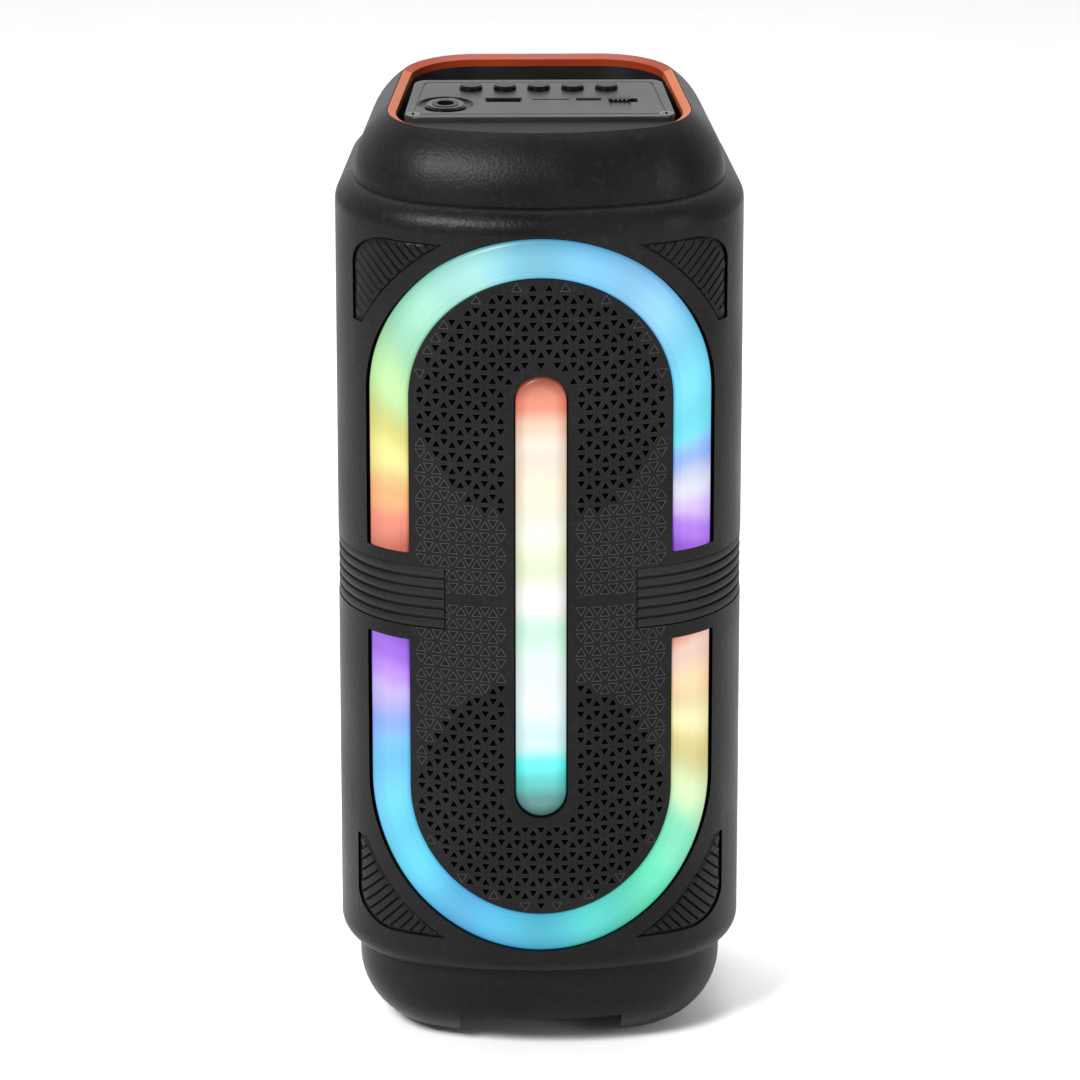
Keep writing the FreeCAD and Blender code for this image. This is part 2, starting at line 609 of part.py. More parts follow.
screw_places = [("-screw_x", "screw_y"), ("screw_x", "screw_y")]


def at_panel_screws(label, radius, low, length):
    return [rod("%s_%d" % (label, number), "z", radius, length, x, y, low)
            for number, (x, y) in enumerate(screw_places, start=1)]


tray_holes = at_panel_screws("tray_hole", "panel_screw / 2", "panel_seat - screw_depth", "screw_depth")
tray_solid = fuse("tray_solid", tray_skin, tray_flange, pocket_wall, deck)
piece("top_tray", cut("top_tray", tray_solid, trench_space, pocket_room, panel_space, well, under_deck,
                      *tray_holes))

trim_ring = cut("trim_ring", prism("trim_block", "trim_outer", "trim_low", "ridge_height"),
                taper("trim_bevel", "trim_outer", "ridge_height", TRIM_INNER, "ridge_height - trim_drop"),
                prism("trim_hole", TRIM_INNER, "trim_low - 1", "ridge_height"), deck_column,
                box("trim_front_gap", ("-trim_front_x - fit", "trim_front_x + fit"), ("-" + FAR, "0"),
                    ("0", ABOVE)))
mitre_front = box("mitre_front", ("-" + FAR, FAR), ("-" + FAR, "trim_mitre_y - fit"), ("0", ABOVE))
mitre_back = box("mitre_back", ("-" + FAR, FAR), ("trim_mitre_y", FAR), ("0", ABOVE))
right_half = box("right_half", ("0", FAR), ("-" + FAR, FAR), ("0", ABOVE))
piece("trim_back", overlap("trim_back", trim_ring, mitre_back))
piece("trim_right", overlap("trim_right", trim_ring, mitre_front, right_half))
piece("trim_left", mirror("trim_left", pieces["trim_right"], "x"))

# ---- control panel

PANEL_TOP = "(panel_seat + panel_rise)"
BUTTON_HOLE = "(button_diameter / 2 + button_clearance)"
BUTTONS = range(-2, 3)


def panel_corners(inset):
    """The panel's outline, moved in by inset: wide at the front, narrower at the back."""
    front, back = "panel_front_half - (%s)" % inset, "panel_back_half - (%s)" % inset
    near, far = "panel_front + (%s)" % inset, "panel_back - (%s)" % inset
    return [(front, near), (back, far), ("-(%s)" % back, far), ("-(%s)" % front, near)]


def soft_plate(label, inset, low, high, corner, edge=None):
    """The panel outline with rounded corners and, if asked, a rounded top edge."""
    body = plate_of(label, panel_corners(inset), low, high)
    doc.recompute()
    base = body.Tip
    for name, radius, chosen in (
            ("corners", corner, lambda e: abs(e.tangentAt(e.FirstParameter).z) > 0.9),
            ("edge", edge, lambda e: all(abs(v.Point.z - value(high)) < 1e-6 for v in e.Vertexes))):
        if radius is None:
            continue
        edges = ["Edge%d" % (number + 1) for number, e in enumerate(base.Shape.Edges) if chosen(e)]
        rounding = body.newObject("PartDesign::Fillet", "%s_%s" % (label, name))
        rounding.Base = (base, edges)
        bind(rounding, Radius=radius)
        doc.recompute()
        base = rounding
    return body


def slot_hole(label, x, y, width, thick, extra, low="panel_seat - 1", high=ABOVE):
    """A rectangular block about x, y, larger than a width and a thickness by a clearance all round."""
    half_x, half_y = "((%s) / 2 + (%s))" % (width, extra), "((%s) / 2 + (%s))" % (thick, extra)
    return box(label, ("%s - %s" % (x, half_x), "%s + %s" % (x, half_x)),
               ("%s - %s" % (y, half_y), "%s + %s" % (y, half_y)), (low, high))


button_holes = [rod("button_hole_%d" % (number + 3), "z", BUTTON_HOLE, "4 * panel_rise",
                    "%d * button_pitch" % number, "button_y", "panel_seat - panel_rise")
                for number in BUTTONS]
panel_groove = cut(
    "panel_groove",
    soft_plate("groove_outer", "groove_inset", PANEL_TOP + " - groove_depth", ABOVE, "panel_corner - 2"),
    soft_plate("groove_inner", "groove_inset + groove_width", "panel_seat", ABOVE + " + 1",
               "panel_corner - 2.5"))
SWITCH_SPAN = "(knob_width + switch_travel)"
SWITCH_MIDDLE = "(switch_x + switch_travel / 2)"
panel_screw_ways = at_panel_screws("panel_screw_way", "panel_screw / 2 + 0.5", "panel_seat - 1",
                                   "2 * panel_rise")
panel_sinks = at_panel_screws("panel_sink", "screw_head / 2 + fit", PANEL_TOP + " - screw_sink",
                              "panel_rise")
panel_plate = soft_plate("panel_plate", "fit", "panel_seat", PANEL_TOP, "panel_corner", "panel_edge")
piece("control_panel", cut(
    "control_panel", panel_plate, panel_groove, *button_holes, *panel_screw_ways, *panel_sinks,
    rod("jack_recess_cut", "z", "jack_recess / 2", "panel_rise", "jack_x", "jack_y",
        PANEL_TOP + " - jack_recess_depth"),
    rod("jack_way", "z", "jack_bush / 2 + fit", "3 * panel_rise", "jack_x", "jack_y",
        "panel_seat - panel_rise"),
    slot_hole("usb_way", "usb_x", "usb_y", "usb_width", "usb_thick", "socket_clearance"),
    slot_hole("card_way", "card_x", "card_y", "card_width", "card_thick", "0"),
    slot_hole("type_c_way", "type_c_x", "type_c_y", "type_c_width", "type_c_thick", "socket_clearance"),
    slot_hole("switch_way", SWITCH_MIDDLE, "switch_y", SWITCH_SPAN, "knob_depth", "0.3")))

for number in BUTTONS:
    label = "button_%d" % (number + 3)
    cap, flange = "button_diameter / 2", "button_diameter / 2 + flange_extra"
    piece(label, turned(label, "z", [
        ("0", "-4"), ("1.5", "-4"), ("1.5", "-1.1"), (flange, "-1.1"), (flange, "-0.1"), (cap, "-0.1"),
        (cap, "panel_rise + button_rise - 0.5"), (cap + " - 0.5", "panel_rise + button_rise"),
        ("0", "panel_rise + button_rise")], "%d * button_pitch" % number, "button_y", "panel_seat"))


def panel_screw(number, x, y):
    """A countersunk screw with a cross recess in its head."""
    head = rod("panel_screw_head_%d" % number, "z", "screw_head / 2", "screw_sink", x, y,
               PANEL_TOP + " - screw_sink")
    shank = rod("panel_screw_shank_%d" % number, "z", "panel_screw / 2 - 0.05", "screw_depth - 2", x, y,
                PANEL_TOP + " - screw_sink - screw_depth + 2")
    across = ("cross_length", "cross_width")
    bars = [slot_hole("cross_%d_%d" % (number, turn), x, y, *size, "0", PANEL_TOP + " - cross_depth")
            for turn, size in enumerate((across, across[::-1]))]
    return cut("panel_screw_%d" % number, fuse("panel_screw_body_%d" % number, head, shank), *bars)


piece("panel_screws", group("panel_screws", *[
    panel_screw(number, x, y) for number, (x, y) in enumerate(screw_places, start=1)]))

KNOB_TOP = PANEL_TOP + " + knob_rise"
knob = slot_hole("knob", "switch_x", "switch_y", "knob_width", "knob_depth", "0", "panel_seat - knob_sink",
                 KNOB_TOP)
knob_flange = slot_hole("knob_flange", "switch_x", "switch_y", "knob_width", "knob_depth", "knob_lip",
                        "panel_seat - knob_sink - knob_lip / 2", "panel_seat - knob_sink / 2")
knob_lever = slot_hole("knob_lever", "switch_x", "switch_y", "lever_width", "lever_width", "0",
                       "panel_seat - lever_length", "panel_seat - knob_sink - knob_lip / 4")
knob_grooves = [box("knob_groove_%d" % number,
                    ("switch_x + %g * groove_pitch - groove_cut / 2" % step,
                     "switch_x + %g * groove_pitch + groove_cut / 2" % step),
                    ("switch_y - knob_depth", "switch_y + knob_depth"), (KNOB_TOP + " - groove_fall", ABOVE))
                for number, step in enumerate((-1.5, -0.5, 0.5, 1.5), start=1)]
piece("power_slider", cut("power_slider", fuse("slider_solid", knob, knob_flange, knob_lever),
                          *knob_grooves))
switch_case = slot_hole("switch_case", SWITCH_MIDDLE, "switch_y", "switch_length", "switch_width", "0",
                        "control_board_top", "panel_seat - knob_sink - knob_lip")
switch_groove = slot_hole("switch_groove", SWITCH_MIDDLE, "switch_y", "switch_travel + lever_width",
                          "lever_width", "0.5", "panel_seat - lever_length - 0.6", ABOVE)
piece("power_switch_body", cut("power_switch_body", switch_case, switch_groove))

# ---- sockets and the board under the panel

RECESS_FLOOR = "(panel_rise - jack_recess_depth)"
piece("mic_jack", cut(
    "mic_jack",
    fuse("jack_solid",
         slot_hole("jack_case", "jack_x", "jack_y", "jack_body", "jack_body", "0",
                   "panel_seat - jack_length", "panel_seat - fit"),
         rod("jack_neck", "z", "jack_bush / 2", "panel_rise + 0.6 + fit", "jack_x", "jack_y",
             "panel_seat - fit")),
    rod("jack_bore_cut", "z", "jack_bore / 2", "jack_length + panel_rise", "jack_x", "jack_y",
        "panel_seat - jack_length + 2")))
piece("jack_nut", turned("jack_nut", "z", [
    ("jack_bush / 2", RECESS_FLOOR), ("jack_bush / 2 + 2.6", RECESS_FLOOR),
    ("jack_bush / 2 + 2.6", RECESS_FLOOR + " + 0.9"), ("jack_bush / 2 + 1.8", RECESS_FLOOR + " + 1.6"),
    ("jack_bush / 2", RECESS_FLOOR + " + 1.6")], "jack_x", "jack_y", "panel_seat"))


def socket(label, x, y, width, thick, top, tongue):
    """A metal socket that stands on the board, open upwards, with its contact tongue."""
    shell = slot_hole(label + "_shell", x, y, width, thick, "0", "control_board_top", top)
    room = slot_hole(label + "_room", x, y, width, thick, "-metal", "control_board_top + 1", ABOVE)
    hollow = cut(label + "_hollow", shell, room)
    if tongue is None:
        return hollow
    return fuse(label, hollow, slot_hole(label + "_tongue", x, tongue[0], tongue[1], tongue[2], "0",
                                         "control_board_top + 1", top + " - 0.6"))


piece("usb_port", socket("usb_port", "usb_x", "usb_y", "usb_width", "usb_thick", PANEL_TOP + " - 0.5",
                         ("usb_y + 0.9", "usb_width - 2", "1.6")))
piece("card_socket", socket("card_socket", "card_x", "card_y", "card_width", "card_thick + 1.2",
                            "panel_seat - fit", None))
piece("usb_c_port", socket("usb_c_port", "type_c_x", "type_c_y", "type_c_width", "type_c_thick",
                           PANEL_TOP + " - 0.5", ("type_c_y", "type_c_width - 2.2", "0.7")))
board_blank = box("board_blank", ("1 - well_half", "well_half - 1"), ("well_front + 1", "well_back - 1"),
                  ("control_board_top - board", "control_board_top"))
piece("control_pcb", cut("control_pcb", board_blank, slot_hole(
    "board_notch", "jack_x", "jack_y", "jack_body", "jack_body", "0.5", "0", ABOVE)))


def tact_switch(number):
    x = "%d * button_pitch" % number
    case = slot_hole("tact_case_%d" % (number + 3), x, "button_y", "6", "6", "0", "control_board_top",
                     "control_board_top + tact_height")
    plunger = rod("tact_plunger_%d" % (number + 3), "z", "1.7", "plunger_height", x, "button_y",
                  "control_board_top + tact_height")
    return fuse("tact_switch_%d" % (number + 3), case, plunger)


piece("tact_switches", group("tact_switches", *[tact_switch(number) for number in BUTTONS]))

# ---- front frame, which carries the lights and the drivers

COLLAR_INNER = "(driver_radius - collar_wall)"
driver_heights = {"upper": RING_HIGH, "lower": RING_LOW}


def ring_wall(label, inner, outer):
    """A racetrack wall from the front sheet back to the plane that the drivers sit on."""
    solid = through_front(label + "_outside", outer, RING_LOW, RING_HIGH, "driver_plane")
    hole = through_front(label + "_inside", inner, RING_LOW, RING_HIGH, "driver_plane + 1")
    return cut(label, solid, hole)


frame_edge = through_front("frame_edge", "ring_half_width + frame_rim", RING_LOW, RING_HIGH, "driver_plane")
frame_hollow = prism("frame_hollow", "wall + frame_sheet", "0", ABOVE)
light_ways = racetrack_band("light_ways", "ring_half_width - light_wall", RING_INNER + " + light_wall - 0.5",
                            "driver_plane", "0")
cone_ways = [rod("cone_way_" + name, "y", COLLAR_INNER, "body_depth", 0, "-body_depth", height)
             for name, height in driver_heights.items()]
frame_front = cut("frame_front", frame_edge, frame_hollow, light_ways, *cone_ways)
light_walls = [ring_wall("inner_light_wall", RING_INNER + " - 0.5", RING_INNER + " + light_wall - 0.5"),
               ring_wall("outer_light_wall", "ring_half_width - light_wall", "ring_half_width")]
collars = [cut("collar_" + name,
               rod("collar_outside_" + name, "y", "driver_radius", "body_depth + driver_plane", 0,
                   "-body_depth", height),
               rod("collar_inside_" + name, "y", COLLAR_INNER, "2 * body_depth", 0, "-body_depth", height))
           for name, height in driver_heights.items()]
BAR_CHANNEL = "(bar_width / 2 - 0.5)"
bar_case = through_front("bar_case", BAR_CHANNEL + " + 3", BAR_LOW, BAR_HIGH, "bar_back")
bar_channel = through_front("bar_channel", BAR_CHANNEL, BAR_LOW, BAR_HIGH, "bar_back - frame_sheet")
woofer_angles = (45, 135, 225, 315)


def at_woofer_screws(label, radius, start, length):
    """One rod along Y at each screw of both drivers."""
    rods = []
    for name, height in driver_heights.items():
        for angle in woofer_angles:
            x = "woofer_screw_circle * %.6f" % math.cos(math.radians(angle))
            z = "%s + woofer_screw_circle * %.6f" % (height, math.sin(math.radians(angle)))
            rods.append(rod("%s_%s_%d" % (label, name, angle), "y", radius, length, x, start, z))
    return rods


piece("front_frame", cut("front_frame", overlap("frame_solid", inner_main, fuse(
    "frame_parts", frame_front, bar_case, *light_walls, *collars)), bar_channel,
    *at_woofer_screws("collar_screw_hole", "woofer_screw / 2", "driver_plane - screw_grip", "screw_grip")))

board_ring = cut("board_ring",
                 racetrack_band("board_band", "ring_half_width - 0.5", RING_INNER + " + light_wall - 1.3",
                                "driver_plane + board", "0"),
                 box("board_front", ("-" + FAR, FAR), ("-2 * body_depth", "driver_plane"), ("0", ABOVE)))
piece("ring_light_boards", board_ring)
BAR_FLOOR = "(bar_back - frame_sheet)"
piece("bar_light_board", box("bar_light_board", ("1 - bar_width / 2 + fit", "bar_width / 2 - 1 - fit"),
                             (BAR_FLOOR + " - board", BAR_FLOOR),
                             (BAR_LOW, BAR_HIGH)))


def lamp(label, x, z, back):
    """A small square lamp whose back sits on a board."""
    return box(label, ("%s - lamp_size / 2" % x, "%s + lamp_size / 2" % x),
               ("%s - lamp_height" % back, back), ("%s - lamp_size / 2" % z, "%s + lamp_size / 2" % z))


def lamps():
    """Lamps round both arches of the ring and up the bar."""
    path = "((ring_half_width + %s) / 2)" % RING_INNER
    spots = []
    for centre, side in ((RING_HIGH, 1), (RING_LOW, -1)):
        for angle in range(0, 181, 20):
            x = "%s * %.6f" % (path, math.cos(math.radians(angle)))
            z = "%s + %s * %.6f" % (centre, path, side * math.sin(math.radians(angle)))
            spots.append((x, z, "driver_plane"))
        for sign in ("", "-"):
            spots.append(("%s%s" % (sign, path), "%s - %d * lamp_pitch" % (centre, side), "driver_plane"))
    for step in range(8):
        spots.append(("0", "%s + lamp_size + %d * lamp_pitch" % (BAR_LOW, step), BAR_FLOOR + " - board"))
    return [lamp("lamp_%d" % number, *spot) for number, spot in enumerate(spots, start=1)]


piece("lamps", group("lamps", *lamps()))

# ---- drivers


def driver(name, height):
    """One driver: basket, magnet, yoke with its pole, cone with dust cap and coil, surround, spider."""
    def ring(part, points):
        return turned("%s_%s" % (part, name), "y", points, 0, 0, height)

    flange_back = "driver_plane + driver_flange"
    basket_floor = "basket_back - basket_plate"
    coil_way = "coil_radius + coil_gap"
    lip = "surround_radius - 1"
    basket = ring("driver_frame", [
        (lip, "driver_plane"), ("driver_radius - fit", "driver_plane"), ("driver_radius - fit", flange_back),
        (COLLAR_INNER + " - 0.9", flange_back), ("magnet_radius + 1", "basket_back"),
        (coil_way, "basket_back"), (coil_way, basket_floor), ("magnet_radius - 0.2", basket_floor),
        (COLLAR_INNER + " - 3.2", flange_back), (lip, flange_back)])
    windows = []
    reach = "(driver_radius + 5)"
    for turn in (0, 60, 120):
        angle = math.radians(turn)
        window = doc.addObject("Part::Cylinder", "basket_window_%s_%d" % (name, turn))
        bind(window, Radius="basket_window", Height="2 * " + reach)
        window.Placement = Placement(Vector(), Rotation(Vector(0, 0, 1), Vector(math.cos(angle), 0,
                                                                                math.sin(angle))))
        windows.append(place(window, "-%.6f * %s" % (math.cos(angle), reach),
                             "(%s + basket_back) / 2" % flange_back,
                             "%s - %.6f * %s" % (height, math.sin(angle), reach)))
    holes = [item for item in at_woofer_screws("flange_hole_" + name, "woofer_screw / 2 + fit",
                                               "driver_plane - 1", "driver_flange + 2")]
    basket.Label = "basket_" + name
    piece("driver_frame_" + name, cut("driver_frame_%s_cut" % name, basket, *windows, *holes))

    piece("driver_magnet_" + name, ring("driver_magnet", [
        ("pole_radius + 4", "basket_back"), ("magnet_radius", "basket_back"),
        ("magnet_radius", "basket_back + magnet_thick"),
        ("pole_radius + 4", "basket_back + magnet_thick")]))
    magnet_back = "basket_back + magnet_thick"
    piece("driver_yoke_" + name, ring("driver_yoke", [
        ("0", basket_floor), ("pole_radius", basket_floor), ("pole_radius", magnet_back),
        ("magnet_radius - 3", magnet_back), ("magnet_radius - 3", magnet_back + " + yoke_thick"),
        ("0", magnet_back + " + yoke_thick")]))
    rim, neck = "driver_plane", "driver_plane + cone_depth - 5.2"
    piece("driver_cone_" + name, ring("driver_cone", [
        ("0", neck + " - 6.8"), ("0.6 * coil_radius", neck + " - 5.4"), ("coil_radius + 1", neck + " - 1.4"),
        ("cone_radius", rim + " - 0.4"), ("cone_radius", rim + " + 0.4"), ("coil_radius", neck),
        ("coil_radius", "basket_back + 7"), ("coil_radius - 0.5", "basket_back + 7"),
        ("coil_radius - 0.5", neck + " - 1"), ("0.6 * coil_radius", neck + " - 4.6"),
        ("0", neck + " - 6")]))
    roll = [(5.4, 0.6), (4.5, 0.6), (3.5, 2.6), (2.5, 3.4), (1.5, 2.6), (0.5, 0.6)]
    under = [(0.9, 0), (1.8, 2.1), (2.5, 2.8), (3.2, 2.1), (4.1, 0), (5.4, 0)]
    outline = [("surround_radius - %g" % back, "driver_plane - %g" % rise) for back, rise in roll]
    outline += [("surround_radius + 2.8", "driver_plane - 0.6"), ("surround_radius + 2.8", "driver_plane")]
    outline += [("surround_radius - %g" % back, "driver_plane - %g" % rise) for back, rise in under]
    piece("driver_surround_" + name, ring("driver_surround", outline))
    floor = "basket_back - basket_plate"
    waves = [("coil_radius + 0.1", 2.6), ("coil_radius + 3", 3.2), ("coil_radius + 6", 2.2),
             ("coil_radius + 9", 3.2), ("magnet_radius - 5", 1.6), ("magnet_radius - 4", 0.6),
             ("magnet_radius - 0.5", 0.6)]
    profile = [(radius, "%s - %g" % (floor, rise)) for radius, rise in waves]
    profile += [(radius, "%s - %g" % (floor, max(rise - 0.6, 0))) for radius, rise in reversed(waves)]
    piece("driver_spider_" + name, ring("driver_spider", profile))


for name, height in driver_heights.items():
    driver(name, height)

screw_heads = at_woofer_screws("woofer_head", "woofer_screw", "driver_plane + driver_flange", "2")
screw_shanks = at_woofer_screws("woofer_shank", "woofer_screw / 2 - 0.05", "driver_plane - screw_grip + 1",
                                "driver_flange + screw_grip - 1")
piece("woofer_screws", group("woofer_screws", *[
    fuse("woofer_screw_%d" % number, *pair)
    for number, pair in enumerate(zip(screw_heads, screw_shanks), start=1)]))

# ---- inside the cabinet

piece("port_tube", turned("port_tube", "y", [
    ("port_radius", "body_depth / 2 - port_length"), (PORT_OUTER, "body_depth / 2 - port_length"),
    (PORT_OUTER, "body_depth / 2 - wall / 2"), (PORT_OUTER + " + port_lip", "body_depth / 2 - wall / 2"),
    (PORT_OUTER + " + port_lip", "body_depth / 2"), ("port_radius", "body_depth / 2")],
    0, 0, "port_centre"))

CELL_PITCH = "(cell_diameter + cell_gap)"
cells = [rod("cell_%d" % number, "x", "cell_diameter / 2", "cell_length", "-cell_length / 2",
             "cell_y + %d * %s" % (number, CELL_PITCH), "cell_z") for number in range(2)]
piece("battery_cells", group("battery_cells", *cells))
HOLDER_X = "(cell_length / 2 + 0.3)"
HOLDER_FRONT = "(cell_y - cell_diameter / 2 - 0.3)"
HOLDER_BACK = "(cell_y + 1.5 * cell_diameter + cell_gap + 0.3)"
HOLDER_FLOOR = "(cell_z - cell_diameter / 2 - 0.3)"
tray_block = box("holder_block", ("-%s - holder_wall" % HOLDER_X, HOLDER_X + " + holder_wall"),
                 (HOLDER_FRONT + " - holder_wall", HOLDER_BACK + " + holder_wall"),
                 (HOLDER_FLOOR + " - holder_wall", "cell_z + 3"))
tray_room = box("holder_room", ("-" + HOLDER_X, HOLDER_X), (HOLDER_FRONT, HOLDER_BACK),
                (HOLDER_FLOOR, ABOVE))
arms = [box("holder_arm_%d" % number, (x + " - holder_arm / 2", x + " + holder_arm / 2"),
            (HOLDER_BACK + " + holder_wall / 2", "body_depth / 2 - wall"),
            (HOLDER_FLOOR + " - holder_wall", "cell_z - holder_arm / 2"))
        for number, x in enumerate(("-holder_arm_x", "holder_arm_x"))]
piece("battery_holder", fuse("battery_holder", cut("holder_tray", tray_block, tray_room), *arms))

piece("amp_pcb", box("amp_pcb", ("-amp_width / 2", "amp_width / 2"), ("amp_y", "amp_y + board"),
                     ("amp_z - amp_height / 2", "amp_z + amp_height / 2")))
sink_base = box("sink_base", ("-sink_width / 2", "sink_width / 2"), ("amp_y - 3", "amp_y"),
                ("amp_z", "amp_z + 24"))
fins = [box("sink_fin_%d" % number, ("%s * sink_width / 12 - 1" % step, "%s * sink_width / 12 + 1" % step),
            ("amp_y - 16", "amp_y - 2"), ("amp_z", "amp_z + 24")) for number, step in enumerate(
                ("-5", "-3", "-1", "1", "3", "5"))]
piece("heat_sink", fuse("heat_sink", sink_base, *fins))


def lead(label, route, radius="lead_radius"):
    """An insulated lead: straight runs joined by arcs as large as the runs allow."""
    points = [Vector(*[value(number) for number in point]) for point in route]
    edges, start, turns = [], points[0], []
    for before, corner, after in zip(points, points[1:], points[2:]):
        back, ahead = before - corner, after - corner
        run = 0.45 * min(back.Length, ahead.Length)
        back.normalize()
        ahead.normalize()
        turn = math.pi - back.getAngle(ahead)
        bend = run / math.tan(turn / 2)
        turns.append(bend)
        first, last = corner + back * run, corner + ahead * run
        inward = back + ahead
        inward.normalize()
        middle = corner + inward * (bend / math.cos(turn / 2) - bend)
        edges += [Part.LineSegment(start, first).toShape(), Part.Arc(first, middle, last).toShape()]
        start = last
    edges.append(Part.LineSegment(start, points[-1]).toShape())
    wire = Part.Wire(edges)
    print(label, "length %.0f" % wire.Length, "bend radii", ["%.0f" % bend for bend in turns])
    section = Part.Wire(Part.makeCircle(value(radius), points[0], points[1] - points[0]))
    solid = doc.addObject("Part::Feature", label)
    solid.Shape = wire.makePipeShell([section], True, False)
    solid.Placement = Placement()
    tube = math.pi * value(radius) ** 2 * wire.Length
    if abs(solid.Shape.Volume / tube - 1) > 0.02:
        raise SystemExit("%s is not a clean tube" % label)
    return solid


piece("speaker_leads", group("speaker_leads", *[lead("speaker_lead_" + name, [
    ("amp_width / 2 - 6", "amp_y", start), ("amp_width / 2 - 6", "amp_y - 20", start),
    ("amp_width / 2 + 4", "8", bend), ("driver_radius - 2", "-12", height + " + 4"),
    ("magnet_radius + 11.5", "-26", height)]) for name, height, start, bend in (
        ("upper", RING_HIGH, "amp_z - 24", "amp_z - 14"),
        ("lower", RING_LOW, "amp_z - 31", "port_centre + 70"))]))
piece("supply_lead", lead("supply_lead", [
    ("-cell_length / 2 - 6", HOLDER_BACK + " - 6", "cell_z + 3.1 + lead_radius"),
    ("-cell_length / 2 - 6", HOLDER_BACK + " - 7", "cell_z + 18"),
    ("-amp_width / 2 + 6", "amp_y - 14", "amp_z - 44"), ("-amp_width / 2 + 8", "amp_y - 12", "amp_z - 24"),
    ("-amp_width / 2 + 8", "amp_y", "amp_z - 24")]))
piece("control_lead", lead("control_lead", [
    ("8", "well_back - 6", "control_board_top - board"), ("8", "well_back - 6", "control_board_top - 22"),
    ("14", "amp_y - 26", "amp_z + 44"), ("18", "amp_y - 12", "amp_z + 29"), ("18", "amp_y", "amp_z + 29")]))
piece("light_lead", lead("light_lead", [
    ("-amp_width / 2 + 6", "amp_y", "amp_z + 20"), ("-amp_width / 2 + 6", "amp_y - 22", "amp_z + 20"),
    ("-ring_half_width + 9", "0", RING_HIGH + " + 12"), ("-ring_half_width + 9", "-26", RING_HIGH + " + 6"),
    ("-ring_half_width + 9", "driver_plane + board", RING_HIGH + " + 6")]))

# ---- checks and files

doc.recompute()
for item in doc.Objects:
    if "Invalid" in item.State or "Error" in item.State:
        raise SystemExit("failed: %s %s" % (item.Label, item.State))
os.makedirs("parts", exist_ok=True)
for label, item in pieces.items():
    if item.Shape.isNull() or not item.Shape.isValid() or not item.Shape.Solids:
        raise SystemExit("no valid solid: " + label)
    item.Shape.exportStep("parts/%s.step" % label)
print(len(pieces), "pieces,", sum(len(item.Shape.Solids) for item in pieces.values()), "solids")
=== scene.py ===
import math

import bmesh
import bpy
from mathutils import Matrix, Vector
from mathutils.geometry import delaunay_2d_cdt


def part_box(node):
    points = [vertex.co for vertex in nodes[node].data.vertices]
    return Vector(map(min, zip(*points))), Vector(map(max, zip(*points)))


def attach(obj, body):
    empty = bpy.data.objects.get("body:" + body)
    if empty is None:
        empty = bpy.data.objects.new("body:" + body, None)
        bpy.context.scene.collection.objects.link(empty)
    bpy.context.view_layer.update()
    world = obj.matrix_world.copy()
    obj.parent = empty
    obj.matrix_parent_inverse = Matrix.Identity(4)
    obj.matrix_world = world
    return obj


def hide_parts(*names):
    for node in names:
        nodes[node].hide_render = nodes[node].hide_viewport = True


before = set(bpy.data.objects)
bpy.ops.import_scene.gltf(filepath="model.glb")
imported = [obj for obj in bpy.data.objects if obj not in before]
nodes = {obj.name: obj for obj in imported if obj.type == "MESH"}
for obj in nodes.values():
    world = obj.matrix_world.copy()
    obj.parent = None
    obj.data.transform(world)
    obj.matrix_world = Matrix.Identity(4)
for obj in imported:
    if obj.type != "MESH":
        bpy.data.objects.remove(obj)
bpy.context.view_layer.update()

scene = bpy.context.scene
scene.view_settings.view_transform = "Standard"
mm = 0.001

# The speaker stands on z = 0, with its front towards -Y. Lengths are in metres.

shellLow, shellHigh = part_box("front_shell")
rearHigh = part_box("rear_shell")[1]
ringLow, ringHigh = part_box("diffuser_lower"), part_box("diffuser_upper")
barLow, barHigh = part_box("diffuser_bar")
gripLow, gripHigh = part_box("side_grip_right")

housing = {
    "halfWidth": shellHigh.x,
    "depth": rearHigh.y - shellLow.y,
    "frontRadius": 140 * mm,
    "frontCorner": 46 * mm,
    "rearCorner": 48 * mm,
    "taper": 5 * mm,
}
ring = {
    "outer": ringHigh[1].x,
    "band": 15.5 * mm,
    "lowCentre": ringLow[0].z + ringHigh[1].x,
    "highCentre": ringHigh[1].z - ringHigh[1].x,
}
ring["inner"] = ring["outer"] - ring["band"]


# the front's outline seen from above

def outlineParts(look):
    frontY = look["frontRadius"] - look["depth"] / 2
    cornerX = look["halfWidth"] - look["frontCorner"]
    reach = look["frontRadius"] - look["frontCorner"]
    swing = math.asin(cornerX / reach)
    cornerY = frontY - reach * math.cos(swing)
    rearX = look["halfWidth"] - look["taper"] - look["rearCorner"]
    rearY = look["depth"] / 2 - look["rearCorner"]
    across, along = cornerX - rearX, rearY - cornerY
    step = look["frontCorner"] - look["rearCorner"]
    lean = math.acos(-step / math.hypot(across, along)) - math.atan2(along, across)
    return {
        "frontY": frontY, "corner": (cornerX, cornerY), "swing": swing, "lean": lean,
        "frontRun": look["frontRadius"] * swing,
        "cornerRun": look["frontCorner"] * (math.pi / 2 + lean - swing),
    }


outline = outlineParts(housing)


def alongOutline(run):
    # the point and the outward direction at a distance from the front's middle, to the right of it
    side = 1 if run >= 0 else -1
    run = abs(run)
    radius, hubX, hubY, rest = housing["frontCorner"], *outline["corner"], 0.0
    if run <= outline["frontRun"]:
        turn = run / housing["frontRadius"]
        radius, hubX, hubY = housing["frontRadius"], 0.0, outline["frontY"]
    elif run <= outline["frontRun"] + outline["cornerRun"]:
        turn = outline["swing"] + (run - outline["frontRun"]) / housing["frontCorner"]
    else:
        turn = math.pi / 2 + outline["lean"]
        rest = run - outline["frontRun"] - outline["cornerRun"]
    x = hubX + radius * math.sin(turn) - rest * math.sin(outline["lean"])
    y = hubY - radius * math.cos(turn) + rest * math.cos(outline["lean"])
    return side * x, y, side * math.sin(turn), -math.cos(turn)


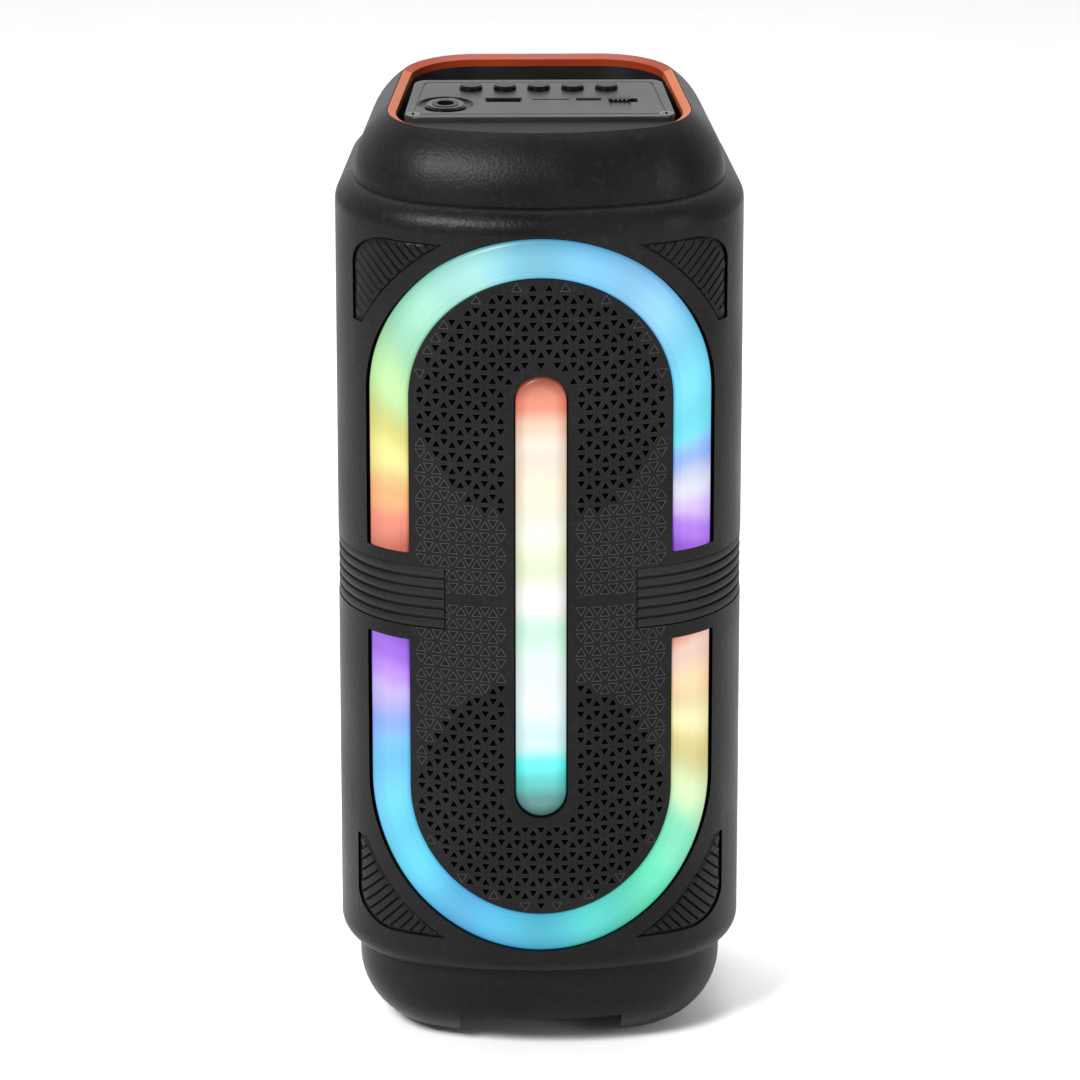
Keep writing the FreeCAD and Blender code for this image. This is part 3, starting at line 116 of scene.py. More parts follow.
def runAt(x):
    # the distance along the outline at which the front reaches x
    edge = housing["frontRadius"] * math.sin(outline["swing"])
    if abs(x) <= edge:
        run = housing["frontRadius"] * math.asin(abs(x) / housing["frontRadius"])
    else:
        share = min((abs(x) - outline["corner"][0]) / housing["frontCorner"], 1)
        run = outline["frontRun"] + housing["frontCorner"] * (math.asin(share) - outline["swing"])
    return math.copysign(run, x)


def onShell(run, z, depth):
    x, y, outX, outY = alongOutline(run)
    return Vector((x - outX * depth, y - outY * depth, z))


def onFront(x, z, depth):
    return onShell(runAt(x), z, depth)


# mesh helpers

def addMesh(name, points, faces, smooth=40):
    mesh = bpy.data.meshes.new(name)
    mesh.from_pydata([tuple(point) for point in points], [], faces)
    work = bmesh.new()
    work.from_mesh(mesh)
    bmesh.ops.remove_doubles(work, verts=work.verts, dist=1e-7)
    bmesh.ops.recalc_face_normals(work, faces=work.faces)
    work.to_mesh(mesh)
    work.free()
    mesh.shade_smooth()
    mesh.set_sharp_from_angle(angle=math.radians(smooth))
    piece = bpy.data.objects.new(name, mesh)
    scene.collection.objects.link(piece)
    return piece


def loft(name, rings, smooth=40):
    # closed loops of equal length joined in turn, with both ends capped
    count = len(rings[0])
    points = [point for loop in rings for point in loop]
    faces = []
    for row in range(len(rings) - 1):
        for spot in range(count):
            after = (spot + 1) % count
            faces.append((row * count + spot, row * count + after,
                          (row + 1) * count + after, (row + 1) * count + spot))
    faces.append(tuple(range(count))[::-1])
    faces.append(tuple(range((len(rings) - 1) * count, len(rings) * count)))
    return addMesh(name, points, faces, smooth)


def lathe(name, profile, centre, sides=64, smooth=35):
    # a closed profile of (radius, height) turned about an upright axis
    points, faces = [], []
    count = len(profile)
    for side in range(sides):
        turn = 2 * math.pi * side / sides
        for radius, height in profile:
            points.append((centre[0] + radius * math.cos(turn),
                           centre[1] + radius * math.sin(turn), height))
    for side in range(sides):
        ahead = (side + 1) % sides
        for spot in range(count):
            after = (spot + 1) % count
            faces.append((side * count + spot, ahead * count + spot,
                          ahead * count + after, side * count + after))
    return addMesh(name, points, faces, smooth)


def spread(start, end, count):
    return [start + (end - start) * step / count for step in range(count + 1)]


# node helpers

def join(tree, source, target):
    tree.links.new(source, target)


def calc(tree, operation, *values):
    node = tree.nodes.new("ShaderNodeMath")
    node.operation = operation
    for number, value in enumerate(values):
        if isinstance(value, (int, float)):
            node.inputs[number].default_value = value
        else:
            join(tree, value, node.inputs[number])
    return node.outputs[0]


def ramp(tree, factor, stops, smooth=False):
    node = tree.nodes.new("ShaderNodeValToRGB")
    node.color_ramp.interpolation = "EASE" if smooth else "LINEAR"
    elements = node.color_ramp.elements
    while len(elements) > 1:
        elements.remove(elements[-1])
    for number, (place, colour) in enumerate(stops):
        element = elements[0] if number == 0 else elements.new(place)
        element.position = place
        element.color = (*colour, 1)
    join(tree, factor, node.inputs["Fac"])
    return node.outputs["Color"]


def blendColours(tree, factor, first, second, kind="MIX"):
    node = tree.nodes.new("ShaderNodeMix")
    node.data_type = "RGBA"
    node.blend_type = kind
    node.clamp_factor = True
    for socket, value in ((node.inputs[0], factor), (node.inputs[6], first), (node.inputs[7], second)):
        if isinstance(value, (int, float)):
            socket.default_value = value
        elif isinstance(value, tuple):
            socket.default_value = (*value, 1)
        else:
            join(tree, value, socket)
    return node.outputs[2]


def fit(tree, value, low, high, toLow, toHigh, smooth=False):
    node = tree.nodes.new("ShaderNodeMapRange")
    node.interpolation_type = "SMOOTHSTEP" if smooth else "LINEAR"
    join(tree, value, node.inputs[0])
    for number, limit in enumerate((low, high, toLow, toHigh), start=1):
        node.inputs[number].default_value = limit
    return node.outputs[0]


def hypotenuse(tree, first, second):
    return calc(tree, "SQRT", calc(tree, "ADD", calc(tree, "MULTIPLY", first, first),
                                   calc(tree, "MULTIPLY", second, second)))


def beyond(tree, value, low, high):
    # how far a value lies outside a range, and zero inside it
    return calc(tree, "MAXIMUM", calc(tree, "MAXIMUM", calc(tree, "SUBTRACT", value, high),
                                      calc(tree, "SUBTRACT", low, value)), 0)


def noise(tree, position, scale, detail):
    node = tree.nodes.new("ShaderNodeTexNoise")
    node.inputs["Detail"].default_value = detail
    join(tree, position, node.inputs["Vector"])
    if isinstance(scale, float):
        node.inputs["Scale"].default_value = scale
    else:
        join(tree, scale, node.inputs["Scale"])
    return node.outputs["Fac"]


def places(tree):
    coordinate = tree.nodes.new("ShaderNodeTexCoord")
    split = tree.nodes.new("ShaderNodeSeparateXYZ")
    join(tree, coordinate.outputs["Object"], split.inputs[0])
    return coordinate.outputs["Object"], split.outputs


def newGroup(name, inputs, outputs):
    group = bpy.data.node_groups.new(name, "ShaderNodeTree")
    for label, kind, value in inputs:
        socket = group.interface.new_socket(label, in_out="INPUT", socket_type="NodeSocket" + kind)
        if value is not None:
            socket.default_value = value
    for label, kind in outputs:
        group.interface.new_socket(label, in_out="OUTPUT", socket_type="NodeSocket" + kind)
    return group, group.nodes.new("NodeGroupInput").outputs, group.nodes.new("NodeGroupOutput").inputs


def placeGroup(tree, group, position, values):
    node = tree.nodes.new("ShaderNodeGroup")
    node.node_tree = group
    join(tree, position, node.inputs["Position"])
    for label, value in values.items():
        node.inputs[label].default_value = value
    return node.outputs


grainMake = {
    "soft": 0.6, "cells": 0.55, "pits": 0.45, "pitSize": 0.45,
    "drift": (0.35, 0.65), "speckle": (0.55, 0.75),
}


def mouldedGrain(look):
    # the eroded grain of a moulding tool, with slow drift in colour and gloss
    group, given, result = newGroup(
        "moulded grain",
        [("Position", "Vector", None), ("Grain", "Float", 1500.0), ("Patch", "Float", 25.0)],
        [("Height", "Float"), ("Drift", "Float"), ("Speckle", "Float")])
    cells = group.nodes.new("ShaderNodeTexVoronoi")
    cells.feature = "SMOOTH_F1"
    cells.inputs["Smoothness"].default_value = look["soft"]
    join(group, given["Position"], cells.inputs["Vector"])
    join(group, given["Grain"], cells.inputs["Scale"])
    pits = noise(group, given["Position"], calc(group, "MULTIPLY", given["Grain"], look["pitSize"]),
                 detail=3)
    slow = noise(group, given["Position"], given["Patch"], detail=4)
    height = calc(group, "ADD", calc(group, "MULTIPLY", cells.outputs["Distance"], look["cells"]),
                  calc(group, "MULTIPLY", pits, look["pits"]))
    join(group, height, result["Height"])
    join(group, fit(group, slow, *look["drift"], 0, 1), result["Drift"])
    join(group, fit(group, pits, *look["speckle"], 0, 1), result["Speckle"])
    return group


brushMake = {"stretch": (0.06, 1, 1), "streak": (0.3, 0.7)}


def brushedMetal(look):
    # fine lines along X with a few deeper scratches
    group, given, result = newGroup(
        "brushed metal", [("Position", "Vector", None), ("Lines", "Float", 900.0)],
        [("Height", "Float"), ("Streak", "Float")])
    stretch = group.nodes.new("ShaderNodeMapping")
    stretch.inputs["Scale"].default_value = look["stretch"]
    join(group, given["Position"], stretch.inputs["Vector"])
    lines = noise(group, stretch.outputs["Vector"], given["Lines"], detail=5)
    join(group, lines, result["Height"])
    join(group, fit(group, lines, *look["streak"], 0, 1), result["Streak"])
    return group


trianglePattern = {
    "pitch": 6 * mm,
    "side": 3.6 * mm,
    "line": 0.13 * mm,
    "lineSoft": (0.5, 1.3),
    "fillSoft": (0.4, 1.2),
    "openFade": 0.8,
    "zone": 46.05 * mm,
    "barKeep": 13.9 * mm,
    "edgeKeep": 2.2 * mm,
    "middleKeep": 0.62,
}


def frontTriangles(look):
    # three families of lines split the front into triangles; each carries an engraved outline, which the
    # front paints lighter as a painted highlight on its chamfer, and near a driver the outline is the bevel
    # round an open hole; the front fills these triangles, and the blind ones, with painted shade
    group, given, result = newGroup("blind triangles", [("Position", "Vector", None)],
                                    [("Line", "Float"), ("Open", "Float"), ("Closed", "Float")])
    split = group.nodes.new("ShaderNodeSeparateXYZ")
    join(group, given["Position"], split.inputs[0])
    x, z = split.outputs["X"], split.outputs["Z"]
    middle = (ring["lowCentre"] + ring["highCentre"]) / 2
    above = calc(group, "GREATER_THAN", z, middle)
    centre = calc(group, "MULTIPLY_ADD", above, ring["highCentre"] - ring["lowCentre"], ring["lowCentre"])
    rise = calc(group, "SUBTRACT", z, centre)
    row = look["pitch"] * math.sqrt(3) / 2
    lines = [calc(group, "MULTIPLY_ADD", rise, 1 / row, 0.5)]
    for side in (1, -1):
        slant = calc(group, "MULTIPLY_ADD", x, side * math.cos(math.pi / 6) / row, -0.25)
        lines.append(calc(group, "MULTIPLY_ADD", rise, 0.5 / row, slant))
    near = [calc(group, "PINGPONG", line, 0.5) for line in lines]
    nearest = calc(group, "MINIMUM", calc(group, "MINIMUM", near[0], near[1]), near[2])
    inset = (look["pitch"] - look["side"]) / (2 * math.sqrt(3))
    inside = calc(group, "MULTIPLY_ADD", nearest, row, -inset)
    lineLimits = [look["line"] * part for part in look["lineSoft"]]
    fillLimits = [look["line"] * part for part in look["fillSoft"]]
    drawn = fit(group, calc(group, "ABSOLUTE", inside), *lineLimits, 1, 0, True)
    filled = fit(group, inside, *fillLimits, 0, 1, True)

    # the middle of the triangle that holds the point
    flat, right, left = [calc(group, "FLOOR", line) for line in lines]
    kind = calc(group, "SUBTRACT", calc(group, "SUBTRACT", flat, right), left)
    third = calc(group, "MULTIPLY_ADD", kind, -1 / 3, 0.5)
    cellX = calc(group, "MULTIPLY", calc(group, "SUBTRACT", right, left), look["pitch"] / 2)
    cellZ = calc(group, "MULTIPLY", calc(group, "ADD", third, flat), row)
    height = calc(group, "ADD", cellZ, centre)

    # whole triangles only, clear of the ring, the bar and the row where the two zones meet
    fromSpine = hypotenuse(group, cellX, beyond(group, height, ring["lowCentre"], ring["highCentre"]))
    barEnds = barLow.z + barHigh.x, barHigh.z - barHigh.x
    fromBar = hypotenuse(group, cellX, beyond(group, height, *barEnds))
    fromMiddle = calc(group, "ABSOLUTE", calc(group, "SUBTRACT", height, middle))
    within = calc(group, "LESS_THAN", fromSpine, ring["inner"] - look["edgeKeep"])
    clear = calc(group, "GREATER_THAN", fromBar, look["barKeep"])
    whole = calc(group, "GREATER_THAN", fromMiddle, row * look["middleKeep"])
    where = calc(group, "MULTIPLY", calc(group, "MULTIPLY", within, clear), whole)
    opened = calc(group, "LESS_THAN", hypotenuse(group, cellX, cellZ), look["zone"])
    filled = calc(group, "MULTIPLY", filled, where)
    faint = calc(group, "MULTIPLY_ADD", opened, -look["openFade"], 1)
    join(group, calc(group, "MULTIPLY", calc(group, "MULTIPLY", drawn, where), faint), result["Line"])
    join(group, calc(group, "MULTIPLY", filled, opened), result["Open"])
    join(group, calc(group, "MULTIPLY", filled, calc(group, "SUBTRACT", 1, opened)), result["Closed"])
    return group


grain = mouldedGrain(grainMake)
brush = brushedMetal(brushMake)
triangles = frontTriangles(trianglePattern)


# finishes

def newMaterial(name):
    material = bpy.data.materials.new(name)
    material.use_nodes = True
    tree = material.node_tree
    shader = tree.nodes["Principled BSDF"]
    return material, tree, shader


def addBump(tree, shader, height, strength, distance):
    bump = tree.nodes.new("ShaderNodeBump")
    bump.inputs["Strength"].default_value = strength
    bump.inputs["Distance"].default_value = distance
    join(tree, height, bump.inputs["Height"])
    join(tree, bump.outputs["Normal"], shader.inputs["Normal"])
    return bump


plasticLook = {
    "ior": 1.47, "sway": 0.05, "fleckGain": 1.9, "fleckLift": 0.01,
    "speckle": 0.25, "shine": 0.5, "deep": 0.12 * mm,
}


def moulded(name, finish):
    # moulded plastic or rubber: grain in the height, slow drift in colour and gloss, paler flecks
    look = {**plasticLook, **finish}
    material, tree, shader = newMaterial(name)
    position, _ = places(tree)
    marks = placeGroup(tree, grain, position, {"Grain": look["grain"]})
    colour = blendColours(tree, marks["Drift"], look["dark"], look["light"])
    paler = tuple(min(1, look["fleckGain"] * part + look["fleckLift"]) for part in look["light"])
    flecks = calc(tree, "MULTIPLY", marks["Speckle"], look["speckle"])
    join(tree, blendColours(tree, flecks, colour, paler), shader.inputs["Base Color"])
    gloss = fit(tree, marks["Drift"], 0, 1, look["rough"] - look["sway"], look["rough"] + look["sway"])
    join(tree, gloss, shader.inputs["Roughness"])
    shader.inputs["IOR"].default_value = look["ior"]
    shader.inputs["Specular IOR Level"].default_value = look["shine"]
    addBump(tree, shader, marks["Height"], look["bump"], look["deep"])
    return material


def frontSurface(name, look):
    # the black front: moulded grain and the engraved triangles, their insides darkened with painted shade
    # and their outlines lightened with a painted highlight
    material = moulded(name, look)
    tree = material.node_tree
    shader = tree.nodes["Principled BSDF"]
    position, _ = places(tree)
    marks = placeGroup(tree, triangles, position, {})
    facing = tree.nodes.new("ShaderNodeNewGeometry")
    normal = tree.nodes.new("ShaderNodeSeparateXYZ")
    join(tree, facing.outputs["Normal"], normal.inputs[0])
    outward = calc(tree, "LESS_THAN", normal.outputs["Y"], look["forwards"])
    line, opened, closed = [calc(tree, "MULTIPLY", marks[label], outward)
                            for label in ("Line", "Open", "Closed")]
    colour = shader.inputs["Base Color"].links[0].from_socket
    # painted shade: the blind triangles and the triangles round the open holes are darkened towards near
    # black
    colour = blendColours(tree, calc(tree, "MULTIPLY", closed, look["blindShadeTone"]), colour, look["recess"])
    colour = blendColours(tree, opened, colour, look["recess"])
    # painted highlight: the engraved outlines are lightened where their chamfers catch the light
    colour = blendColours(tree, calc(tree, "MULTIPLY", line, look["edgeHighlightTone"]), colour, look["line"])
    join(tree, colour, shader.inputs["Base Color"])
    bump = tree.nodes["Bump"]
    height = bump.inputs["Height"].links[0].from_socket
    sunk = calc(tree, "MULTIPLY", calc(tree, "MAXIMUM", closed, opened), look["sunk"])
    join(tree, calc(tree, "SUBTRACT", height, sunk), bump.inputs["Height"])
    return material


metalLook = {"duller": 0.12, "deep": 0.05 * mm}


def metal(name, finish):
    # brushed or plated metal: streaks along X in the colour, the gloss and the height
    look = {**metalLook, **finish}
    material, tree, shader = newMaterial(name)
    position, _ = places(tree)
    marks = placeGroup(tree, brush, position, {"Lines": look["lines"]})
    colour = blendColours(tree, marks["Streak"], look["dark"], look["light"])
    join(tree, colour, shader.inputs["Base Color"])
    gloss = fit(tree, marks["Streak"], 0, 1, look["rough"], look["rough"] + look["duller"])
    join(tree, gloss, shader.inputs["Roughness"])
    shader.inputs["Metallic"].default_value = 1
    addBump(tree, shader, marks["Height"], look["bump"], look["deep"])
    return material


def litDiffuser(name, look, side):
    # a milky strip lit from behind: its colour runs along the strip, deeper at the bevelled edges
    material, tree, shader = newMaterial(name)
    position, axes = places(tree)
    x, z = axes["X"], axes["Z"]
    if side:
        centre = ring["highCentre"] if side > 0 else ring["lowCentre"]
        rise = calc(tree, "SUBTRACT", z, centre - side * look["drop"])
        turn = calc(tree, "ARCTAN2", x, calc(tree, "MULTIPLY", rise, side))
        along = fit(tree, turn, -look["sweep"], look["sweep"], 0, 1)
        past = calc(tree, "MULTIPLY", calc(tree, "SUBTRACT", z, centre), side)
        out = hypotenuse(tree, x, calc(tree, "MAXIMUM", past, 0))
        across = fit(tree, out, ring["inner"], ring["outer"], 0, 1)
    else:
        along = fit(tree, z, barLow.z, barHigh.z, 0, 1)
        out = hypotenuse(tree, x, beyond(tree, z, barLow.z + barHigh.x, barHigh.z - barHigh.x))
        across = fit(tree, out, 0, barHigh.x, 0, 1)
    cloud = noise(tree, position, look["cloud"], detail=2)
    wander = calc(tree, "MULTIPLY", calc(tree, "SUBTRACT", cloud, 0.5), look["drift"])
    drift = calc(tree, "ADD", along, wander)
    beat = calc(tree, "PINGPONG", calc(tree, "MULTIPLY", along, look["lamps"]), 0.5)
    dim = fit(tree, beat, 0, 0.5, 1, look["dip"], True)
    tone, deepTone = look["tone"], look["tone"] * look["deepTone"]
    milky = ramp(tree, drift, [(place, tuple(part ** tone for part in colour))
                               for place, colour in look["colours"]], True)
    milky = blendColours(tree, 1.0, milky, dim, "MULTIPLY")
    deep = ramp(tree, drift, [(place, tuple(look["deepPower"] * part ** deepTone for part in colour))
                              for place, colour in look["colours"]], True)
    colour = blendColours(tree, ramp(tree, across, look["edge"]), milky, deep)
    join(tree, colour, shader.inputs["Emission Color"])
    shader.inputs["Emission Strength"].default_value = look["power"]
    unlit = blendColours(tree, 1 - look["milk"], milky, look["body"])
    join(tree, unlit, shader.inputs["Base Color"])
    join(tree, fit(tree, cloud, 0, 1, *look["rough"]), shader.inputs["Roughness"])
    shader.inputs["Specular IOR Level"].default_value = look["shine"]
    addBump(tree, shader, cloud, look["bump"], look["deep"])
    return material


def dress(material, slotName, *names):
    # CAD pieces are given by node name, the script's own pieces as objects
    for name in names:
        piece = nodes[name] if isinstance(name, str) else name
        piece.data.materials.clear()
        piece.data.materials.append(material)


# light ring and light bar

ringSection = {
    # (distance from the inner edge, depth under the shell's face), in millimetres
    "face": [(0.0, 1.4), (0.35, 0.6), (1.0, 0.25), (2.3, 0.12), (2.5, 0.32), (2.75, 0.32), (2.95, 0.1),
             (5.0, -0.02), (8.0, -0.1), (11.0, -0.02), (13.0, 0.1), (14.1, 0.4), (14.9, 1.1), (15.2, 1.8)],
    "back": 3.0,
    "gap": 0.15,
    "legSteps": 24,
    "archSteps": 110,
}


def ringArch(name, centre, side, end, look):
    section = [(ring["inner"] + (look["gap"] + out) * mm, deep * mm) for out, deep in look["face"]]
    section += [(section[spot][0], look["back"] * mm) for spot in (-1, 0)]
    # up one leg, over the arch and down the other: (height, outward x, outward z)
    spots = [(z, -1.0, 0.0) for z in spread(end, centre, look["legSteps"])]
    spots += [(centre, math.cos(turn), side * math.sin(turn))
              for turn in spread(math.pi, 0, look["archSteps"])[1:-1]]
    spots += [(z, 1.0, 0.0) for z in spread(centre, end, look["legSteps"])]
    loops = [[onFront(outX * out, z + outZ * out, deep) for out, deep in section]
             for z, outX, outZ in spots]
    return loft(name, loops, smooth=50)


diffuserUpper = ringArch("diffuserUpper", ring["highCentre"], 1, ringHigh[0].z, ringSection)
diffuserLower = ringArch("diffuserLower", ring["lowCentre"], -1, ringLow[1].z, ringSection)
for piece, node in ((diffuserUpper, "diffuser_upper"), (diffuserLower, "diffuser_lower")):
    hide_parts(node)
    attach(piece, "cabinet")

barSection = {
    "face": [(9.6, 1.8), (9.3, 0.9), (8.6, 0.35), (7.4, 0.12), (5.2, 0.0), (2.6, -0.08), (0.05, -0.1)],
    "back": 3.0,
    "heart": 0.05,
    "sideSteps": 60,
    "endSteps": 24,
}


def lightBar(name, look):
    low, high = barLow.z + barHigh.x, barHigh.z - barHigh.x
    sides, ends = look["sideSteps"], look["endSteps"]
    spots = [(z, 1.0, 0.0) for z in spread(low, high, sides)]
    spots += [(high, math.cos(turn), math.sin(turn)) for turn in spread(0, math.pi, ends)[1:-1]]
    spots += [(z, -1.0, 0.0) for z in spread(high, low, sides)]
    spots += [(low, math.cos(turn), math.sin(turn)) for turn in spread(math.pi, 2 * math.pi, ends)[1:-1]]
    widest = look["face"][0][0]
    profile = [(out, look["back"]) for out in (look["heart"], widest / 2, widest)] + look["face"]
    loops = [[onFront(outX * out * mm, z + outZ * out * mm, deep * mm) for z, outX, outZ in spots]
             for out, deep in profile]
    return loft(name, loops, smooth=50)


lightStrip = lightBar("lightStrip", barSection)
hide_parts("diffuser_bar")
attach(lightStrip, "cabinet")

upperLight = {
    "drop": 40 * mm, "sweep": math.radians(112), "drift": 0.03, "power": 0.98,
    "lamps": 11, "dip": 0.84, "tone": 1.55, "deepTone": 1.5, "deepPower": 0.6,
    "cloud": 60.0, "milk": 0.08, "body": (0.02, 0.02, 0.02), "rough": (0.28, 0.4), "shine": 0.2,
    "bump": 0.05, "deep": 0.1 * mm,
    "edge": [(0.0, (0.8,) * 3), (0.06, (0.4,) * 3), (0.16, (0.12,) * 3), (0.18, (0.3,) * 3),
             (0.2, (0.08,) * 3), (0.55, (0.04,) * 3), (0.8, (0.45,) * 3), (0.92, (0.8,) * 3),
             (1.0, (1.0,) * 3)],
    "colours": [(0.0, (0.62, 0.20, 0.14)), (0.05, (0.96, 0.45, 0.34)), (0.1, (0.95, 0.60, 0.34)),
                (0.16, (0.97, 0.90, 0.46)), (0.21, (0.84, 0.82, 0.38)), (0.27, (0.68, 0.90, 0.54)),
                (0.34, (0.52, 0.85, 0.68)), (0.42, (0.58, 0.90, 0.86)), (0.48, (0.34, 0.70, 0.82)),
                (0.55, (0.34, 0.70, 0.92)), (0.62, (0.44, 0.75, 0.98)), (0.71, (0.34, 0.82, 0.98)),
                (0.79, (0.32, 0.88, 0.98)), (0.83, (0.46, 0.62, 0.98)), (0.88, (0.86, 0.87, 0.98)),
                (0.92, (0.78, 0.66, 0.98)), (0.96, (0.64, 0.36, 0.98)), (1.0, (0.40, 0.16, 0.70))],
}
lowerLight = dict(upperLight, colours=[
    (0.0, (0.34, 0.16, 0.66)), (0.04, (0.54, 0.28, 0.92)), (0.08, (0.65, 0.43, 0.98)),
    (0.12, (0.70, 0.64, 0.98)), (0.17, (0.41, 0.57, 0.98)), (0.22, (0.30, 0.73, 0.98)),
    (0.33, (0.26, 0.80, 0.98)), (0.42, (0.20, 0.63, 0.88)), (0.5, (0.16, 0.64, 0.78)),
    (0.56, (0.19, 0.76, 0.71)), (0.63, (0.26, 0.86, 0.64)), (0.68, (0.42, 0.93, 0.72)),
    (0.73, (0.80, 0.93, 0.66)), (0.79, (0.86, 0.78, 0.44)), (0.84, (0.98, 0.94, 0.66)),
    (0.9, (0.97, 0.80, 0.56)), (0.96, (0.98, 0.78, 0.70)), (1.0, (0.80, 0.42, 0.34))])
barLight = dict(upperLight, drift=0.02, lamps=8, dip=0.88, power=0.95, tone=1.5, edge=[
    (0.0, (0.0,) * 3), (0.5, (0.05,) * 3), (0.8, (0.8,) * 3), (1.0, (1.0,) * 3)], colours=[
    (0.0, (0.12, 0.33, 0.29)), (0.04, (0.21, 0.46, 0.45)), (0.08, (0.23, 0.76, 0.72)),
    (0.12, (0.26, 0.98, 0.96)), (0.17, (0.80, 0.98, 0.98)), (0.3, (0.92, 0.98, 0.98)),
    (0.42, (0.76, 0.98, 0.86)), (0.5, (0.98, 0.98, 0.96)), (0.58, (0.90, 0.96, 0.76)),
    (0.66, (0.98, 0.98, 0.90)), (0.75, (0.98, 0.91, 0.76)), (0.84, (0.98, 0.90, 0.82)),
    (0.89, (0.98, 0.74, 0.62)), (0.93, (0.97, 0.47, 0.36)), (1.0, (0.62, 0.25, 0.16))])
dress(litDiffuser("upper ring light", upperLight, 1), "diffuser_ring", diffuserUpper)
dress(litDiffuser("lower ring light", lowerLight, -1), "diffuser_ring", diffuserLower)
dress(litDiffuser("bar light", barLight, 0), "diffuser_bar", lightStrip)
print("lights made")

# ribbed grip bands round the waist

gripBand = {
    "ribs": 6, "gap": 0.9, "crown": 0.25, "floor": 1.25, "back": 1.45, "shoulder": 0.45, "end": 40.0,
    "start": 0.3, "swell": 0.08, "softRun": 0.35, "softDrop": 0.3, "stride": 0.5, "steps": 90,
}


def gripSection(look):
    # from the lower edge up: each rib rises from the floor, rounds over, and falls into the next groove
    pitch = (gripHigh.z - gripLow.z) / look["ribs"]
    halfGap, soft = look["gap"] * mm / 2, look["shoulder"] * mm
    crown, brink = look["crown"], look["crown"] + look["shoulder"]
    bend = crown + look["softDrop"] * look["shoulder"]
    section = []
    for rib in range(look["ribs"]):
        low = gripLow.z + rib * pitch + (0 if rib == 0 else halfGap)
        high = gripLow.z + (rib + 1) * pitch - (0 if rib == look["ribs"] - 1 else halfGap)
        section += [(low, look["floor"]), (low, brink), (low + look["softRun"] * soft, bend),
                    (low + soft, crown), ((low + high) / 2, crown - look["swell"]), (high - soft, crown),
                    (high - look["softRun"] * soft, bend), (high, brink), (high, look["floor"])]
    section += [(gripHigh.z, look["back"]), (gripLow.z, look["back"])]
    return [(z, deep * mm) for z, deep in section]


def gripPiece(name, side, look):
    start, end = runAt(gripLow.x + look["start"] * mm), 0.0
    while alongOutline(end)[1] < look["end"] * mm:
        end += look["stride"] * mm
    section = gripSection(look)
    loops = [[onShell(side * run, z, deep) for z, deep in section]
             for run in spread(start, end, look["steps"])]
    return loft(name, loops, smooth=38)


gripRight = gripPiece("gripRight", 1, gripBand)
gripLeft = gripPiece("gripLeft", -1, gripBand)
for piece, node in ((gripRight, "side_grip_right"), (gripLeft, "side_grip_left")):
    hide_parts(node)
    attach(piece, "cabinet")
print("grips made")

# ribbed corner pads

cornerPad = {
    "outer": 69.0, "arc": 72.0, "corner": 12.0, "stripe": 2.9, "slope": 49.5,
    "groove": 0.42, "stripes": 13, "margin": 0.9, "middle": (54.0, -14.0), "reach": 40.0,
    "fall": 0.85, "face": 0.2, "edge": 0.5, "back": 1.35, "point": 0.9,
    "arcSteps": 26, "cornerSteps": 14, "sideSteps": 8, "topSteps": 10, "runSteps": 100,
}


def insideLoop(loop, x, z):
    inside = False
    for (ax, az), (bx, bz) in zip(loop, loop[1:] + loop[:1]):
        if (az > z) != (bz > z) and x < ax + (z - az) * (bx - ax) / (bz - az):
            inside = not inside
    return inside


def padLoop(look, top):
    # the pad's edge in x and z, as it stands in the upper right corner, with its inner end cut blunt
    centre = ring["highCentre"] / mm
    inner = math.sqrt(look["arc"] ** 2 - (top - look["point"] - centre) ** 2)
    low = math.sqrt(look["arc"] ** 2 - look["outer"] ** 2) + centre
    startTurn = math.asin((top - look["point"] - centre) / look["arc"])
    endTurn = math.asin((low - centre) / look["arc"])
    arcPart = [(look["arc"] * math.cos(turn), centre + look["arc"] * math.sin(turn))
               for turn in spread(startTurn, endTurn, look["arcSteps"])]
    hub = (look["outer"] - look["corner"], top - look["corner"])
    roundPart = [(hub[0] + look["corner"] * math.cos(turn), hub[1] + look["corner"] * math.sin(turn))
                 for turn in spread(0, math.pi / 2, look["cornerSteps"])]
    sidePart = [(look["outer"], z) for z in spread(low, hub[1], look["sideSteps"])[1:-1]]
    topPart = [(x, top) for x in spread(hub[0], inner, look["topSteps"])[1:]]
    return arcPart + sidePart + roundPart + topPart


def padSheet(look, top):
    # the flat sheet of triangles, with the grooves' edges and middles as lines in it
    loop = padLoop(look, top)
    turn = math.radians(look["slope"])
    alongX, alongZ = math.cos(turn), math.sin(turn)
    points = list(loop)
    edges = [(spot, (spot + 1) % len(loop)) for spot in range(len(loop))]
    depths = [look["face"] + look["edge"]] * len(loop)
    middleX, middleZ = look["middle"][0], top + look["middle"][1]
    for stripe in range(-look["stripes"], look["stripes"] + 1):
        for offset, fall in ((-look["groove"], 0), (0, look["fall"]), (look["groove"], 0)):
            shift = stripe * look["stripe"] + offset
            row = []
            for run in spread(-look["reach"], look["reach"], look["runSteps"]):
                x = middleX + alongX * run - alongZ * shift
                z = middleZ + alongZ * run + alongX * shift
                near = min(math.hypot(x - px, z - pz) for px, pz in loop)
                if near > look["margin"] and insideLoop(loop, x, z):
                    row.append((x, z))
                elif row:
                    break
            edges += [(len(points) + spot, len(points) + spot + 1) for spot in range(len(row) - 1)]
            points += row
            depths += [look["face"] + fall] * len(row)
    # output type 1 keeps only the triangles inside the edge
    made = delaunay_2d_cdt([Vector(point) for point in points], edges, [], 1, 1e-5)
    depth = [depths[came[0]] if came else look["face"] for came in made[3]]
    return [(point.x, point.y) for point in made[0]], depth, [tuple(face) for face in made[2]]


